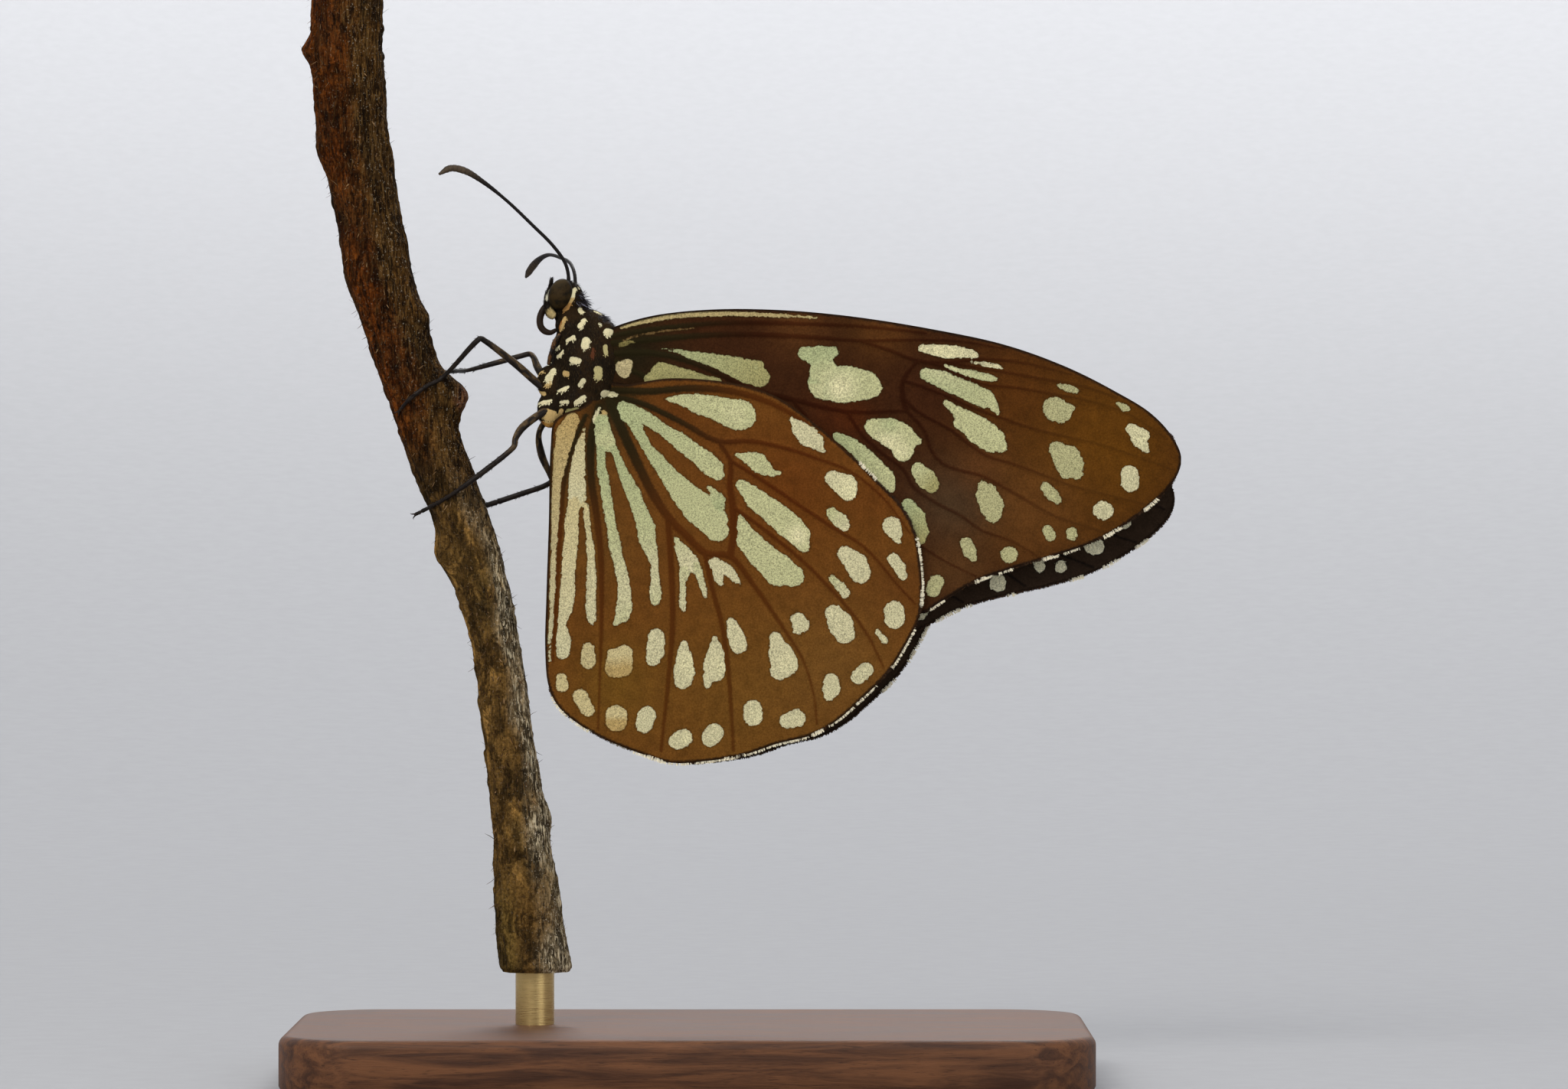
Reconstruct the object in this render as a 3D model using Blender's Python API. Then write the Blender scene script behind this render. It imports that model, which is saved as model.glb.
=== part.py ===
# Blue tiger butterfly resting head up on a cut branch, wings closed over the back.
# A still, life-size museum model held by a flat base and one short rod.
# Lengths here are millimetres, turned to metres by one factor when meshes are made.
# X runs from the belly towards the wing tips, Z is up, the animal's left side faces -Y.
# The origin is the centre of the base's underside.

import math

import bmesh
import bpy
from mathutils import Matrix, Vector
from mathutils.geometry import delaunay_2d_cdt

MM = 0.001

# Driving sizes
FOREWING_LENGTH = 47.0
NODE_GAP = 0.3
WING_HALF_THICKNESS = 0.25
VEIN_HEIGHT = 0.15
VEIN_HALF_WIDTH = 0.38
VEIN_FADE_LENGTH = 5.0
WING_GRID = 3.4
FOREWING_ROOT = (-6.2, 60.6)
HINDWING_ROOT = (-6.7, 56.4)
FOREWING_OFF_MIDPLANE = 0.74
HINDWING_OUTSIDE_FOREWING = 1.14
FAR_FOREWING_TURN = math.radians(3.9)
FAR_FOREWING_SHIFT = (0.4, -0.2)
FAR_HINDWING_SHIFT = (1.0, -0.15)
DRAWN_FOREWING_LENGTH = 47.0

BASE_SIZE = (66.0, 40.0, 4.5)
BASE_CENTRE_X = 0.0
BASE_CORNER = 7.0
BASE_BEVEL = 0.8
ROD_RADIUS = 1.6
ROD_X = -12.75
PERCH_FOOT = 9.0
PERCH_TOP = 90.6

EYE_CENTRE = (-10.68, 1.12, 64.66)
EYE_RADII = (0.9, 0.72, 1.1)
EYE_LEAN = 17.0
PALP_RADIUS = 0.3
PALP_TIP_RADIUS = 0.17
PROBOSCIS_RADIUS = 0.25
PROBOSCIS_TIP_RADIUS = 0.17
ANTENNA_RADIUS = 0.25
ANTENNA_CLUB_RADIUS = 0.29
ANTENNA_TIP_RADIUS = 0.14
ABDOMEN_START = (-9.15, 54.7)
ABDOMEN_END = (-9.8, 36.4)
ABDOMEN_RADII = (1.5, 1.32)
ABDOMEN_SEGMENTS = 8
ABDOMEN_GROOVE = 0.07

FEMUR_RADIUS = 0.3
TIBIA_RADIUS = 0.26
TARSUS_RADIUS = 0.25
FOOT_RADIUS = 0.16
CLAW_RADII = (0.12, 0.09, 0.05)
FOOT_CLEAR = TARSUS_RADIUS + NODE_GAP

LEG_SIDES = 8
FEELER_SIDES = 8
CLAW_SIDES = 6
ROUND_END = 0.6
WELD = 0.00002


def clear_scene():
    for obj in list(bpy.data.objects):
        bpy.data.objects.remove(obj, do_unlink=True)


def make_material(name, colour, roughness, metallic=0.0):
    mat = bpy.data.materials.new(name)
    mat.use_nodes = True
    shader = mat.node_tree.nodes["Principled BSDF"]
    shader.inputs["Base Color"].default_value = (*colour, 1.0)
    shader.inputs["Roughness"].default_value = roughness
    shader.inputs["Metallic"].default_value = metallic
    mat.diffuse_color = (*colour, 1.0)
    return mat


def add_object(name, points, faces, mat=None):
    """A mesh object from points in millimetres."""
    mesh = bpy.data.meshes.new(name)
    mesh.from_pydata([Vector(p) * MM for p in points], [], faces)
    mesh.update()
    obj = bpy.data.objects.new(name, mesh)
    bpy.context.scene.collection.objects.link(obj)
    if mat:
        mesh.materials.append(mat)
    outward(obj)
    return obj


def outward(obj):
    bm = bmesh.new()
    bm.from_mesh(obj.data)
    bmesh.ops.recalc_face_normals(bm, faces=bm.faces)
    bm.to_mesh(obj.data)
    bm.free()


def smooth(obj, angle=40.0):
    obj.data.shade_smooth()
    obj.data.set_sharp_from_angle(angle=math.radians(angle))


# Curves

def spline(points, spacing, closed=False):
    """Catmull-Rom curve through the points, sampled about every `spacing`."""
    pts = [Vector(p) for p in points]
    count = len(pts)
    spans = count if closed else count - 1
    curve = []
    for i in range(spans):
        if closed:
            p0, p1, p2, p3 = (pts[(i + k) % count] for k in (-1, 0, 1, 2))
        else:
            p1, p2 = pts[i], pts[i + 1]
            p0 = pts[i - 1] if i > 0 else p1 * 2 - p2
            p3 = pts[i + 2] if i + 2 < count else p2 * 2 - p1
        steps = max(1, round((p2 - p1).length / spacing))
        for s in range(steps):
            curve.append(spline_point(p0, p1, p2, p3, s / steps))
    if not closed:
        curve.append(pts[-1])
    return curve


def spline_point(p0, p1, p2, p3, t):
    """One point of a centripetal Catmull-Rom span."""
    t01 = max((p1 - p0).length, 1e-6) ** 0.5
    t12 = max((p2 - p1).length, 1e-6) ** 0.5
    t23 = max((p3 - p2).length, 1e-6) ** 0.5
    m1 = p2 - p1 + ((p1 - p0) / t01 - (p2 - p0) / (t01 + t12)) * t12
    m2 = p2 - p1 + ((p3 - p2) / t23 - (p3 - p1) / (t12 + t23)) * t12
    a = (p1 - p2) * 2 + m1 + m2
    b = (p1 - p2) * -3 - m1 * 2 - m2
    return a * t ** 3 + b * t ** 2 + m1 * t + p1


def ease(low, high, value):
    """0 at `low`, 1 at `high`, with a soft start and end."""
    t = min(1.0, max(0.0, (value - low) / (high - low)))
    return t * t * (3 - 2 * t)


def table_value(table, key):
    """Linear value between the rows (key, value...) of a short table, keys rising."""
    if key <= table[0][0]:
        return table[0][1:]
    for low, high in zip(table, table[1:]):
        if key <= high[0]:
            t = (key - low[0]) / (high[0] - low[0])
            return tuple(a + (b - a) * t for a, b in zip(low[1:], high[1:]))
    return table[-1][1:]


# Solid pieces

def ellipsoid(name, centre, radii, lean=0.0, segments=20, rings=12, mat=None):
    """An ellipsoid, leaning in the side view by `lean` degrees."""
    bm = bmesh.new()
    bmesh.ops.create_uvsphere(bm, u_segments=segments, v_segments=rings, radius=1.0)
    turn = Matrix.Rotation(math.radians(lean), 4, "Y")
    scale = Matrix.Diagonal((*[r * MM for r in radii], 1.0))
    place = Matrix.Translation(Vector(centre) * MM)
    bm.transform(place @ turn @ scale)
    mesh = bpy.data.meshes.new(name)
    bm.to_mesh(mesh)
    bm.free()
    obj = bpy.data.objects.new(name, mesh)
    bpy.context.scene.collection.objects.link(obj)
    if mat:
        mesh.materials.append(mat)
    return obj


def tube(name, path, radii, sides=LEG_SIDES, mat=None):
    """A closed tube along the path, one radius a point, rounded at both ends."""
    pts = [Vector(p) for p in path]
    ways = [(b - a).normalized() for a, b in zip(pts, pts[1:])]
    tangents = [ways[0]]
    for a, b in zip(ways, ways[1:]):
        tangents.append((a + b).normalized())
    tangents.append(ways[-1])
    side = tangents[0].cross(Vector((0, 1, 0)))
    if side.length < 0.1:
        side = tangents[0].cross(Vector((1, 0, 0)))
    side.normalize()
    verts = []
    for i, (centre, tangent) in enumerate(zip(pts, tangents)):
        side = (side - tangent * side.dot(tangent)).normalized()
        up = tangent.cross(side)
        for k in range(sides):
            angle = 2 * math.pi * k / sides
            arm = side * math.cos(angle) + up * math.sin(angle)
            verts.append(centre + arm * radii[i])
    faces = []
    for i in range(len(pts) - 1):
        for k in range(sides):
            n = (k + 1) % sides
            faces.append((i * sides + k, i * sides + n, (i + 1) * sides + n, (i + 1) * sides + k))
    first, last = len(verts), len(verts) + 1
    verts.append(pts[0] - tangents[0] * radii[0] * ROUND_END)
    verts.append(pts[-1] + tangents[-1] * radii[-1] * ROUND_END)
    end = (len(pts) - 1) * sides
    for k in range(sides):
        n = (k + 1) % sides
        faces.append((first, n, k))
        faces.append((last, end + k, end + n))
    return add_object(name, verts, faces, mat)


def apply_boolean(target, tools, operation):
    """One Boolean with a collection of closed tools, applied, tools removed."""
    group = bpy.data.collections.new("tools")
    for tool in tools:
        tool.hide_render = True
        tool.display_type = "WIRE"
        bpy.context.scene.collection.objects.unlink(tool)
        group.objects.link(tool)
    bpy.context.scene.collection.children.link(group)
    step = target.modifiers.new("boolean", "BOOLEAN")
    step.operation = operation
    step.operand_type = "COLLECTION"
    step.collection = group
    step.solver = "EXACT"
    graph = bpy.context.evaluated_depsgraph_get()
    mesh = bpy.data.meshes.new_from_object(target.evaluated_get(graph))
    mats = [m for m in target.data.materials]
    target.modifiers.clear()
    old = target.data
    target.data = mesh
    bpy.data.meshes.remove(old)
    mesh.materials.clear()
    for m in mats[:1]:
        mesh.materials.append(m)
    for tool in list(group.objects):
        bpy.data.objects.remove(tool, do_unlink=True)
    bpy.data.collections.remove(group)
    tidy_mesh(target)


def tidy_mesh(obj):
    """Weld, drop slivers, keep the largest closed surface and set its one material."""
    bm = bmesh.new()
    bm.from_mesh(obj.data)
    bmesh.ops.remove_doubles(bm, verts=bm.verts, dist=WELD)
    bmesh.ops.dissolve_degenerate(bm, edges=bm.edges, dist=WELD)
    bmesh.ops.triangulate(bm, faces=bm.faces)
    keep_largest(bm)
    for face in bm.faces:
        face.material_index = 0
    bm.to_mesh(obj.data)
    bm.free()


def keep_largest(bm):
    bm.verts.ensure_lookup_table()
    seen = set()
    groups = []
    for start in bm.verts:
        if start.index in seen:
            continue
        stack, group = [start], []
        seen.add(start.index)
        while stack:
            vert = stack.pop()
            group.append(vert)
            for edge in vert.link_edges:
                other = edge.other_vert(vert)
                if other.index not in seen:
                    seen.add(other.index)
                    stack.append(other)
        groups.append(group)
    groups.sort(key=spread, reverse=True)
    for group in groups[1:]:
        bmesh.ops.delete(bm, geom=group, context="VERTS")


def spread(group):
    """Size of a group of vertices, as the sum of its box's sides."""
    return sum(max(v.co[k] for v in group) - min(v.co[k] for v in group) for k in range(3))


def union(name, pieces, mat):
    body = pieces[0]
    body.name = name
    body.data.name = name
    body.data.materials.clear()
    body.data.materials.append(mat)
    if len(pieces) > 1:
        apply_boolean(body, pieces[1:], "UNION")
    return body


# Stand and perch

PERCH_LINE = [
    (8.0, -12.6, 3.1), (12.0, -13.1, 2.9), (16.0, -13.5, 2.7), (20.0, -13.9, 2.4), (28.0, -14.9, 2.1),
    (36.0, -16.0, 2.0), (40.0, -17.0, 2.3), (45.0, -18.3, 2.4), (52.0, -21.0, 2.5), (59.0, -23.4, 2.55),
    (66.0, -25.6, 2.9), (70.0, -26.3, 2.7), (78.0, -27.75, 2.95), (85.0, -28.3, 3.0), (91.0, -28.2, 2.9),
]

# Swellings of the branch: height, angle round it (0 is +X, 90 is +Y), rise, length, width in degrees
PERCH_KNOTS = [
    (56.6, -12.0, 1.9, 1.9, 34.0), (43.2, 186.0, 0.75, 1.6, 40.0), (84.9, 182.0, 0.75, 0.95, 32.0),
    (76.5, 190.0, 0.35, 1.4, 35.0), (62.9, -15.0, 0.6, 1.1, 30.0), (31.0, 100.0, 0.6, 2.2, 45.0),
    (70.5, 75.0, 0.7, 2.0, 40.0), (21.5, 20.0, 0.35, 1.6, 40.0), (49.0, 120.0, 0.5, 1.8, 45.0),
]


def perch_axis(height):
    """Centre X and plain radius of the branch at a height."""
    return table_value(PERCH_LINE, height)


def perch_radius(height, angle):
    radius = perch_axis(height)[1]
    for at, facing, rise, length, width in PERCH_KNOTS:
        off = (math.degrees(angle) - facing + 180.0) % 360.0 - 180.0
        radius += rise * math.exp(-((height - at) / length) ** 2 - (off / width) ** 2)
    return radius


def make_perch(mat):
    sides, rings = 20, 44
    verts = []
    for i in range(rings + 1):
        height = PERCH_FOOT + (PERCH_TOP - PERCH_FOOT) * i / rings
        for k in range(sides):
            angle = 2 * math.pi * k / sides
            radius = perch_radius(height, angle)
            verts.append((perch_axis(height)[0] + radius * math.cos(angle), radius * math.sin(angle), height))
    faces = [tuple(range(sides)), tuple(rings * sides + k for k in range(sides))]
    for i in range(rings):
        for k in range(sides):
            n = (k + 1) % sides
            faces.append((i * sides + k, i * sides + n, (i + 1) * sides + n, (i + 1) * sides + k))
    obj = add_object("perch_branch", verts, faces, mat)
    smooth(obj, 50.0)
    return obj


def make_base(mat):
    """A flat plate with round corners and a small bevel above and below."""
    length, depth, height = BASE_SIZE
    levels = [(0.0, BASE_BEVEL * 0.5), (BASE_BEVEL * 0.5, 0.0), (height - BASE_BEVEL, 0.0),
              (height - BASE_BEVEL * 0.3, BASE_BEVEL * 0.3), (height, BASE_BEVEL)]
    corner_steps = 7
    verts = []
    count = 4 * (corner_steps + 1)
    for level, inset in levels:
        for quarter in range(4):
            sx = 1 if quarter in (0, 3) else -1
            sy = 1 if quarter in (0, 1) else -1
            cx = BASE_CENTRE_X + sx * (length / 2 - BASE_CORNER)
            cy = sy * (depth / 2 - BASE_CORNER)
            for k in range(corner_steps + 1):
                angle = math.pi / 2 * (quarter + k / corner_steps)
                radius = BASE_CORNER - inset
                verts.append((cx + radius * math.cos(angle), cy + radius * math.sin(angle), level))
    faces = [tuple(range(count)), tuple((len(levels) - 1) * count + k for k in range(count))]
    for i in range(len(levels) - 1):
        for k in range(count):
            n = (k + 1) % count
            faces.append((i * count + k, i * count + n, (i + 1) * count + n, (i + 1) * count + k))
    obj = add_object("stand_base", verts, faces, mat)
    smooth(obj, 40.0)
    return obj


def make_rod(mat):
    sides = 24
    low = BASE_SIZE[2] + NODE_GAP * 0.5
    high = PERCH_FOOT - NODE_GAP * 0.5
    ring = [(ROD_X + ROD_RADIUS * math.cos(2 * math.pi * k / sides),
             ROD_RADIUS * math.sin(2 * math.pi * k / sides)) for k in range(sides)]
    verts = [(x, y, low) for x, y in ring] + [(x, y, high) for x, y in ring]
    faces = [tuple(range(sides)), tuple(range(sides, 2 * sides))]
    for k in range(sides):
        n = (k + 1) % sides
        faces.append((k, n, sides + n, sides + k))
    obj = add_object("stand_rod", verts, faces, mat)
    smooth(obj, 40.0)
    return obj


# Body

# Lobes: centre, radii, lean in degrees. A Y away from zero is mirrored to the other side.
THORAX_LOBES = [
    ((-8.35, 0.0, 59.4), (3.0, 2.35, 4.25), -4.0),
    ((-9.3, 0.0, 56.3), (2.75, 1.95, 2.3), 0.0),
    ((-9.75, 0.0, 62.15), (1.4, 1.45, 1.3), 20.0),
    ((-11.75, 0.95, 57.6), (0.85, 0.7, 1.35), 8.0),
    ((-11.55, 0.95, 55.2), (1.05, 0.74, 1.5), -4.0),
    ((-7.0, 1.0, 61.3), (0.9, 0.8, 1.3), 30.0),
    ((-10.6, 0.0, 59.9), (0.95, 0.45, 1.75), 10.0),
    ((-10.9, 0.6, 57.3), (1.2, 1.05, 2.1), 4.0),
]
HEAD_LOBES = [
    ((-9.95, 0.0, 64.5), (1.3, 1.4, 1.42), -10.0),
    ((-10.7, 0.0, 63.45), (0.62, 0.75, 0.95), 15.0),
]


def lobes(name, table, grow):
    """Ellipsoids of a table of lobes, the first one finer, each `grow` larger all round."""
    pieces = []
    for row, (centre, radii, lean) in enumerate(table):
        segments, rings = (24, 14) if row == 0 else (14, 8)
        signs = (1,) if centre[1] == 0 else (1, -1)
        for sign in signs:
            place = (centre[0], centre[1] * sign, centre[2])
            size = [r + grow for r in radii]
            pieces.append(ellipsoid(name, place, size, lean, segments, rings))
    return pieces


def thorax_cutters():
    return lobes("cut", THORAX_LOBES, NODE_GAP)


def head_cutters():
    return lobes("cut", HEAD_LOBES, NODE_GAP)


def make_eye(side, grow=0.0, mat=None, name="cut"):
    centre = (EYE_CENTRE[0], EYE_CENTRE[1] * side, EYE_CENTRE[2])
    radii = [r + grow for r in EYE_RADII]
    return ellipsoid(name, centre, radii, EYE_LEAN, mat=mat)


def make_thorax(mat):
    obj = union("thorax", lobes("thorax", THORAX_LOBES, 0.0), mat)
    smooth(obj, 60.0)
    return obj


def make_head(mat):
    obj = union("head", lobes("head", HEAD_LOBES, 0.0), mat)
    apply_boolean(obj, [make_eye(side, NODE_GAP) for side in (-1, 1)] + thorax_cutters(), "DIFFERENCE")
    smooth(obj, 60.0)
    return obj


# Feelers and mouth parts, points from the head outwards
PALP_LINE = [
    (-11.2, 0.82, 62.95), (-11.6, 0.84, 63.2), (-11.76, 0.78, 63.8), (-11.7, 0.66, 64.4),
    (-11.56, 0.54, 65.0), (-11.4, 0.46, 65.6), (-11.35, 0.42, 66.0),
]
PROBOSCIS_LINE = [
    (-11.5, 0.0, 63.75), (-11.95, 0.0, 63.3), (-12.25, 0.0, 62.8), (-12.3, 0.0, 62.25),
    (-12.1, 0.0, 61.85), (-11.7, 0.0, 61.64), (-11.2, 0.0, 61.7),
]
NEAR_ANTENNA = [
    (-9.95, -0.5, 65.4), (-9.98, -0.65, 66.4), (-10.25, -0.9, 67.35), (-11.2, -1.4, 68.7),
    (-12.9, -2.1, 70.4), (-14.9, -2.8, 72.3), (-16.85, -3.4, 73.85), (-18.35, -3.9, 74.75),
    (-19.5, -4.2, 74.95), (-20.3, -4.4, 74.55),
]
FAR_ANTENNA = [
    (-9.42, 0.5, 65.2), (-9.5, 1.3, 66.4), (-9.9, 3.0, 67.4), (-10.7, 5.6, 67.95), (-11.9, 8.6, 68.35),
    (-12.8, 10.6, 68.0), (-13.5, 12.0, 67.3), (-13.9, 12.9, 66.75),
]
ANTENNA_PROFILE = [
    (0.0, ANTENNA_RADIUS), (0.7, ANTENNA_RADIUS), (0.85, ANTENNA_CLUB_RADIUS),
    (0.95, ANTENNA_CLUB_RADIUS * 0.85), (1.0, ANTENNA_TIP_RADIUS),
]


def make_palp(side, mat):
    name = "palp_left" if side < 0 else "palp_right"
    path = spline([(x, y * side, z) for x, y, z in PALP_LINE], 0.35)
    profile = [(0.0, PALP_RADIUS), (0.6, PALP_RADIUS), (1.0, PALP_TIP_RADIUS)]
    last = len(path) - 1
    radii = [table_value(profile, i / last)[0] for i in range(last + 1)]
    obj = tube(name, path, radii, FEELER_SIDES, mat)
    apply_boolean(obj, head_cutters() + [make_eye(side, NODE_GAP)], "DIFFERENCE")
    smooth(obj, 60.0)
    return obj


def make_proboscis(mat):
    """The half-open coil under the face, in the middle plane."""
    path = spline(PROBOSCIS_LINE, 0.25)
    profile = [(0.0, PROBOSCIS_RADIUS), (0.7, PROBOSCIS_RADIUS), (1.0, PROBOSCIS_TIP_RADIUS)]
    last = len(path) - 1
    radii = [table_value(profile, i / last)[0] for i in range(last + 1)]
    obj = tube("proboscis", path, radii, FEELER_SIDES, mat)
    apply_boolean(obj, head_cutters() + thorax_cutters(), "DIFFERENCE")
    smooth(obj, 60.0)
    return obj


def make_antenna(name, points, mat):
    path = spline(points, 1.1)
    last = len(path) - 1
    radii = [table_value(ANTENNA_PROFILE, i / last)[0] for i in range(last + 1)]
    obj = tube(name, path, radii, FEELER_SIDES, mat)
    apply_boolean(obj, head_cutters() + [make_eye(side, NODE_GAP) for side in (-1, 1)], "DIFFERENCE")
    smooth(obj, 60.0)
    return obj


# Share of the abdomen's length, then share of its widest radii
ABDOMEN_PROFILE = [(0.0, 0.78), (0.12, 0.95), (0.4, 1.0), (0.7, 0.9), (0.88, 0.66), (1.0, 0.3)]


def make_abdomen(mat):
    """Rings of the abdomen with a shallow groove between segments."""
    sides, rings_each = 16, 3
    total = ABDOMEN_SEGMENTS * rings_each
    start = Vector((ABDOMEN_START[0], 0.0, ABDOMEN_START[1]))
    end = Vector((ABDOMEN_END[0], 0.0, ABDOMEN_END[1]))
    verts = []
    for i in range(total + 1):
        t = i / total
        size = table_value(ABDOMEN_PROFILE, t)[0]
        if i % rings_each == 0 and 0 < i < total:
            size -= ABDOMEN_GROOVE
        centre = start.lerp(end, t)
        for k in range(sides):
            angle = 2 * math.pi * k / sides
            arm = Vector((ABDOMEN_RADII[0] * math.cos(angle), ABDOMEN_RADII[1] * math.sin(angle), 0.0))
            verts.append(centre + arm * size)
    faces = [tuple(range(sides)), tuple(total * sides + k for k in range(sides))]
    for i in range(total):
        for k in range(sides):
            n = (k + 1) % sides
            faces.append((i * sides + k, i * sides + n, (i + 1) * sides + n, (i + 1) * sides + k))
    obj = add_object("abdomen", verts, faces, mat)
    apply_boolean(obj, thorax_cutters(), "DIFFERENCE")
    smooth(obj, 50.0)
    return obj


# Legs

def on_perch(x, z, side, clear):
    """A point beside the branch, `clear` off its bark, on the near (-1) or far (1) side."""
    centre, _ = perch_axis(z)
    y = 0.0
    for _ in range(6):
        angle = math.atan2(y if y else side, x - centre)
        reach = perch_radius(z, angle) + clear
        y = side * math.sqrt(max(0.0, reach ** 2 - (x - centre) ** 2))
    return (x, y, z)


FEMUR, TIBIA, TARSUS, FOOT = FEMUR_RADIUS, TIBIA_RADIUS, TARSUS_RADIUS, FOOT_RADIUS

# Each leg: points as (x, y, z, radius). A y of None is laid on the branch on the leg's own side.
LEGS = {
    "foreleg_left": (-1, [
        (-10.65, -1.25, 61.4, 0.25), (-11.13, -1.42, 60.75, 0.25), (-11.35, -1.45, 60.05, 0.25),
        (-11.53, -1.42, 59.4, 0.25), (-11.6, -1.35, 58.95, 0.2)]),
    "foreleg_right": (1, [
        (-10.65, 1.25, 61.4, 0.25), (-11.13, 1.42, 60.75, 0.25), (-11.35, 1.45, 60.05, 0.25),
        (-11.53, 1.42, 59.4, 0.25), (-11.6, 1.35, 58.95, 0.2)]),
    "midleg_left": (-1, [
        (-12.1, -1.15, 57.1, FEMUR), (-14.2, -2.1, 58.9, FEMUR), (-16.7, -3.3, 60.8, FEMUR),
        (-17.1, -3.45, 61.0, TIBIA), (-17.5, -3.5, 60.7, TIBIA), (-20.4, None, 57.75, TIBIA),
        (-21.6, None, 57.1, TARSUS), (-23.0, None, 56.0, TARSUS), (-23.9, None, 55.0, FOOT)]),
    "midleg_right": (1, [
        (-12.1, 1.15, 57.7, FEMUR), (-12.6, 2.0, 58.8, FEMUR), (-13.0, 2.7, 59.7, FEMUR),
        (-13.3, 2.95, 59.9, TIBIA), (-14.0, 3.05, 59.75, TIBIA), (-16.2, 3.25, 59.15, TIBIA),
        (-18.3, 3.3, 58.6, TIBIA), (-19.9, None, 58.35, TARSUS), (-21.5, None, 57.9, TARSUS),
        (-23.4, None, 57.2, FOOT)]),
    "hindleg_left": (-1, [
        (-11.6, -1.2, 55.2, FEMUR), (-12.9, -1.8, 54.4, FEMUR), (-13.8, -2.35, 53.6, FEMUR),
        (-14.25, -2.75, 52.8, FEMUR), (-14.35, -2.95, 52.2, TIBIA), (-14.7, -3.0, 51.8, TIBIA),
        (-17.5, -3.1, 49.6, TIBIA), (-19.5, None, 48.2, TARSUS), (-21.2, None, 47.25, TARSUS),
        (-22.6, -1.2, 46.55, FOOT)]),
    "hindleg_right": (1, [
        (-11.6, 1.2, 54.9, FEMUR), (-12.45, 1.9, 53.4, FEMUR), (-12.3, 2.7, 51.6, FEMUR),
        (-11.6, 3.15, 49.9, FEMUR), (-11.45, 3.25, 49.4, TIBIA), (-12.0, 3.25, 49.0, TIBIA),
        (-14.0, 3.15, 48.3, TIBIA), (-16.4, 3.05, 47.5, TIBIA), (-18.4, None, 46.9, TARSUS),
        (-20.2, None, 46.2, FOOT)]),
}


def claw_pieces(name, tip, way, side):
    """Two small hooked claws at the foot's tip."""
    pieces = []
    across = Vector((0.0, 0.0, 1.0)).cross(way).normalized()
    for sign in (-1, 1):
        root = tip - way * 0.15
        mid = tip + way * 0.25 + across * sign * 0.12
        end = mid + way * 0.12 + Vector((0.0, -side * 0.12, -0.12))
        pieces.append(tube(name, [root, mid, end], CLAW_RADII, CLAW_SIDES))
    return pieces


def make_leg(name, mat):
    side, rows = LEGS[name]
    path, sizes = [], []
    for x, y, z, radius in rows:
        point = on_perch(x, z, side, FOOT_CLEAR) if y is None else (x, y, z)
        path.append(Vector(point))
        sizes.append(radius)
    fine = spline(path, 0.9)
    radii = []
    for point in fine:
        nearest = min(range(len(path)), key=lambda k: (path[k] - point).length)
        radii.append(sizes[nearest])
    leg = tube(name, fine, radii, LEG_SIDES, mat)
    if not name.startswith("foreleg"):
        way = (fine[-1] - fine[-2]).normalized()
        leg = union(name, [leg] + claw_pieces(name, fine[-1], way, side), mat)
    apply_boolean(leg, thorax_cutters(), "DIFFERENCE")
    smooth(leg, 60.0)
    return leg


# Wings, drawn as seen from the animal's left, in millimetres from the origin

FOREWING_OUTLINE = [
    (-7.3, 61.5), (-6.0, 62.1), (-3.0, 62.95), (1.5, 63.45), (7.0, 63.45), (13.0, 62.95), (20.0, 61.85),
    (26.0, 60.55), (31.0, 58.75), (35.0, 56.75), (38.0, 54.9), (39.75, 53.0), (40.5, 51.3), (40.3, 50.1),
    (39.4, 48.7), (37.3, 46.8), (34.2, 44.75), (30.5, 43.3), (26.8, 42.2), (23.6, 41.05), (20.6, 39.3),
    (19.0, 38.4), (15.5, 40.6), (9.0, 46.0), (2.0, 51.8), (-3.0, 56.3), (-5.2, 57.1), (-7.2, 57.7),
]
HINDWING_OUTLINE = [
    (-7.2, 57.3), (-5.0, 57.3), (-2.0, 57.75), (1.0, 57.7), (4.5, 57.2), (7.2, 56.25), (10.4, 54.0),
    (13.1, 51.65), (15.5, 49.3), (17.5, 47.2), (18.5, 45.3), (18.95, 43.0), (19.15, 40.3), (18.9, 38.1),
    (17.5, 35.3), (16.3, 33.5), (14.3, 31.5), (12.0, 29.5), (10.0, 28.4), (7.2, 27.7), (4.5, 26.8),
    (1.5, 26.3), (-1.5, 26.15), (-4.0, 26.9), (-7.0, 28.1), (-9.2, 29.4), (-10.7, 30.7), (-11.55, 32.4),
    (-11.85, 35.5), (-11.75, 40.0), (-11.55, 46.0), (-11.4, 52.0), (-11.1, 54.2), (-10.2, 54.9),
    (-8.8, 55.4), (-7.9, 56.2),
]
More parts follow.
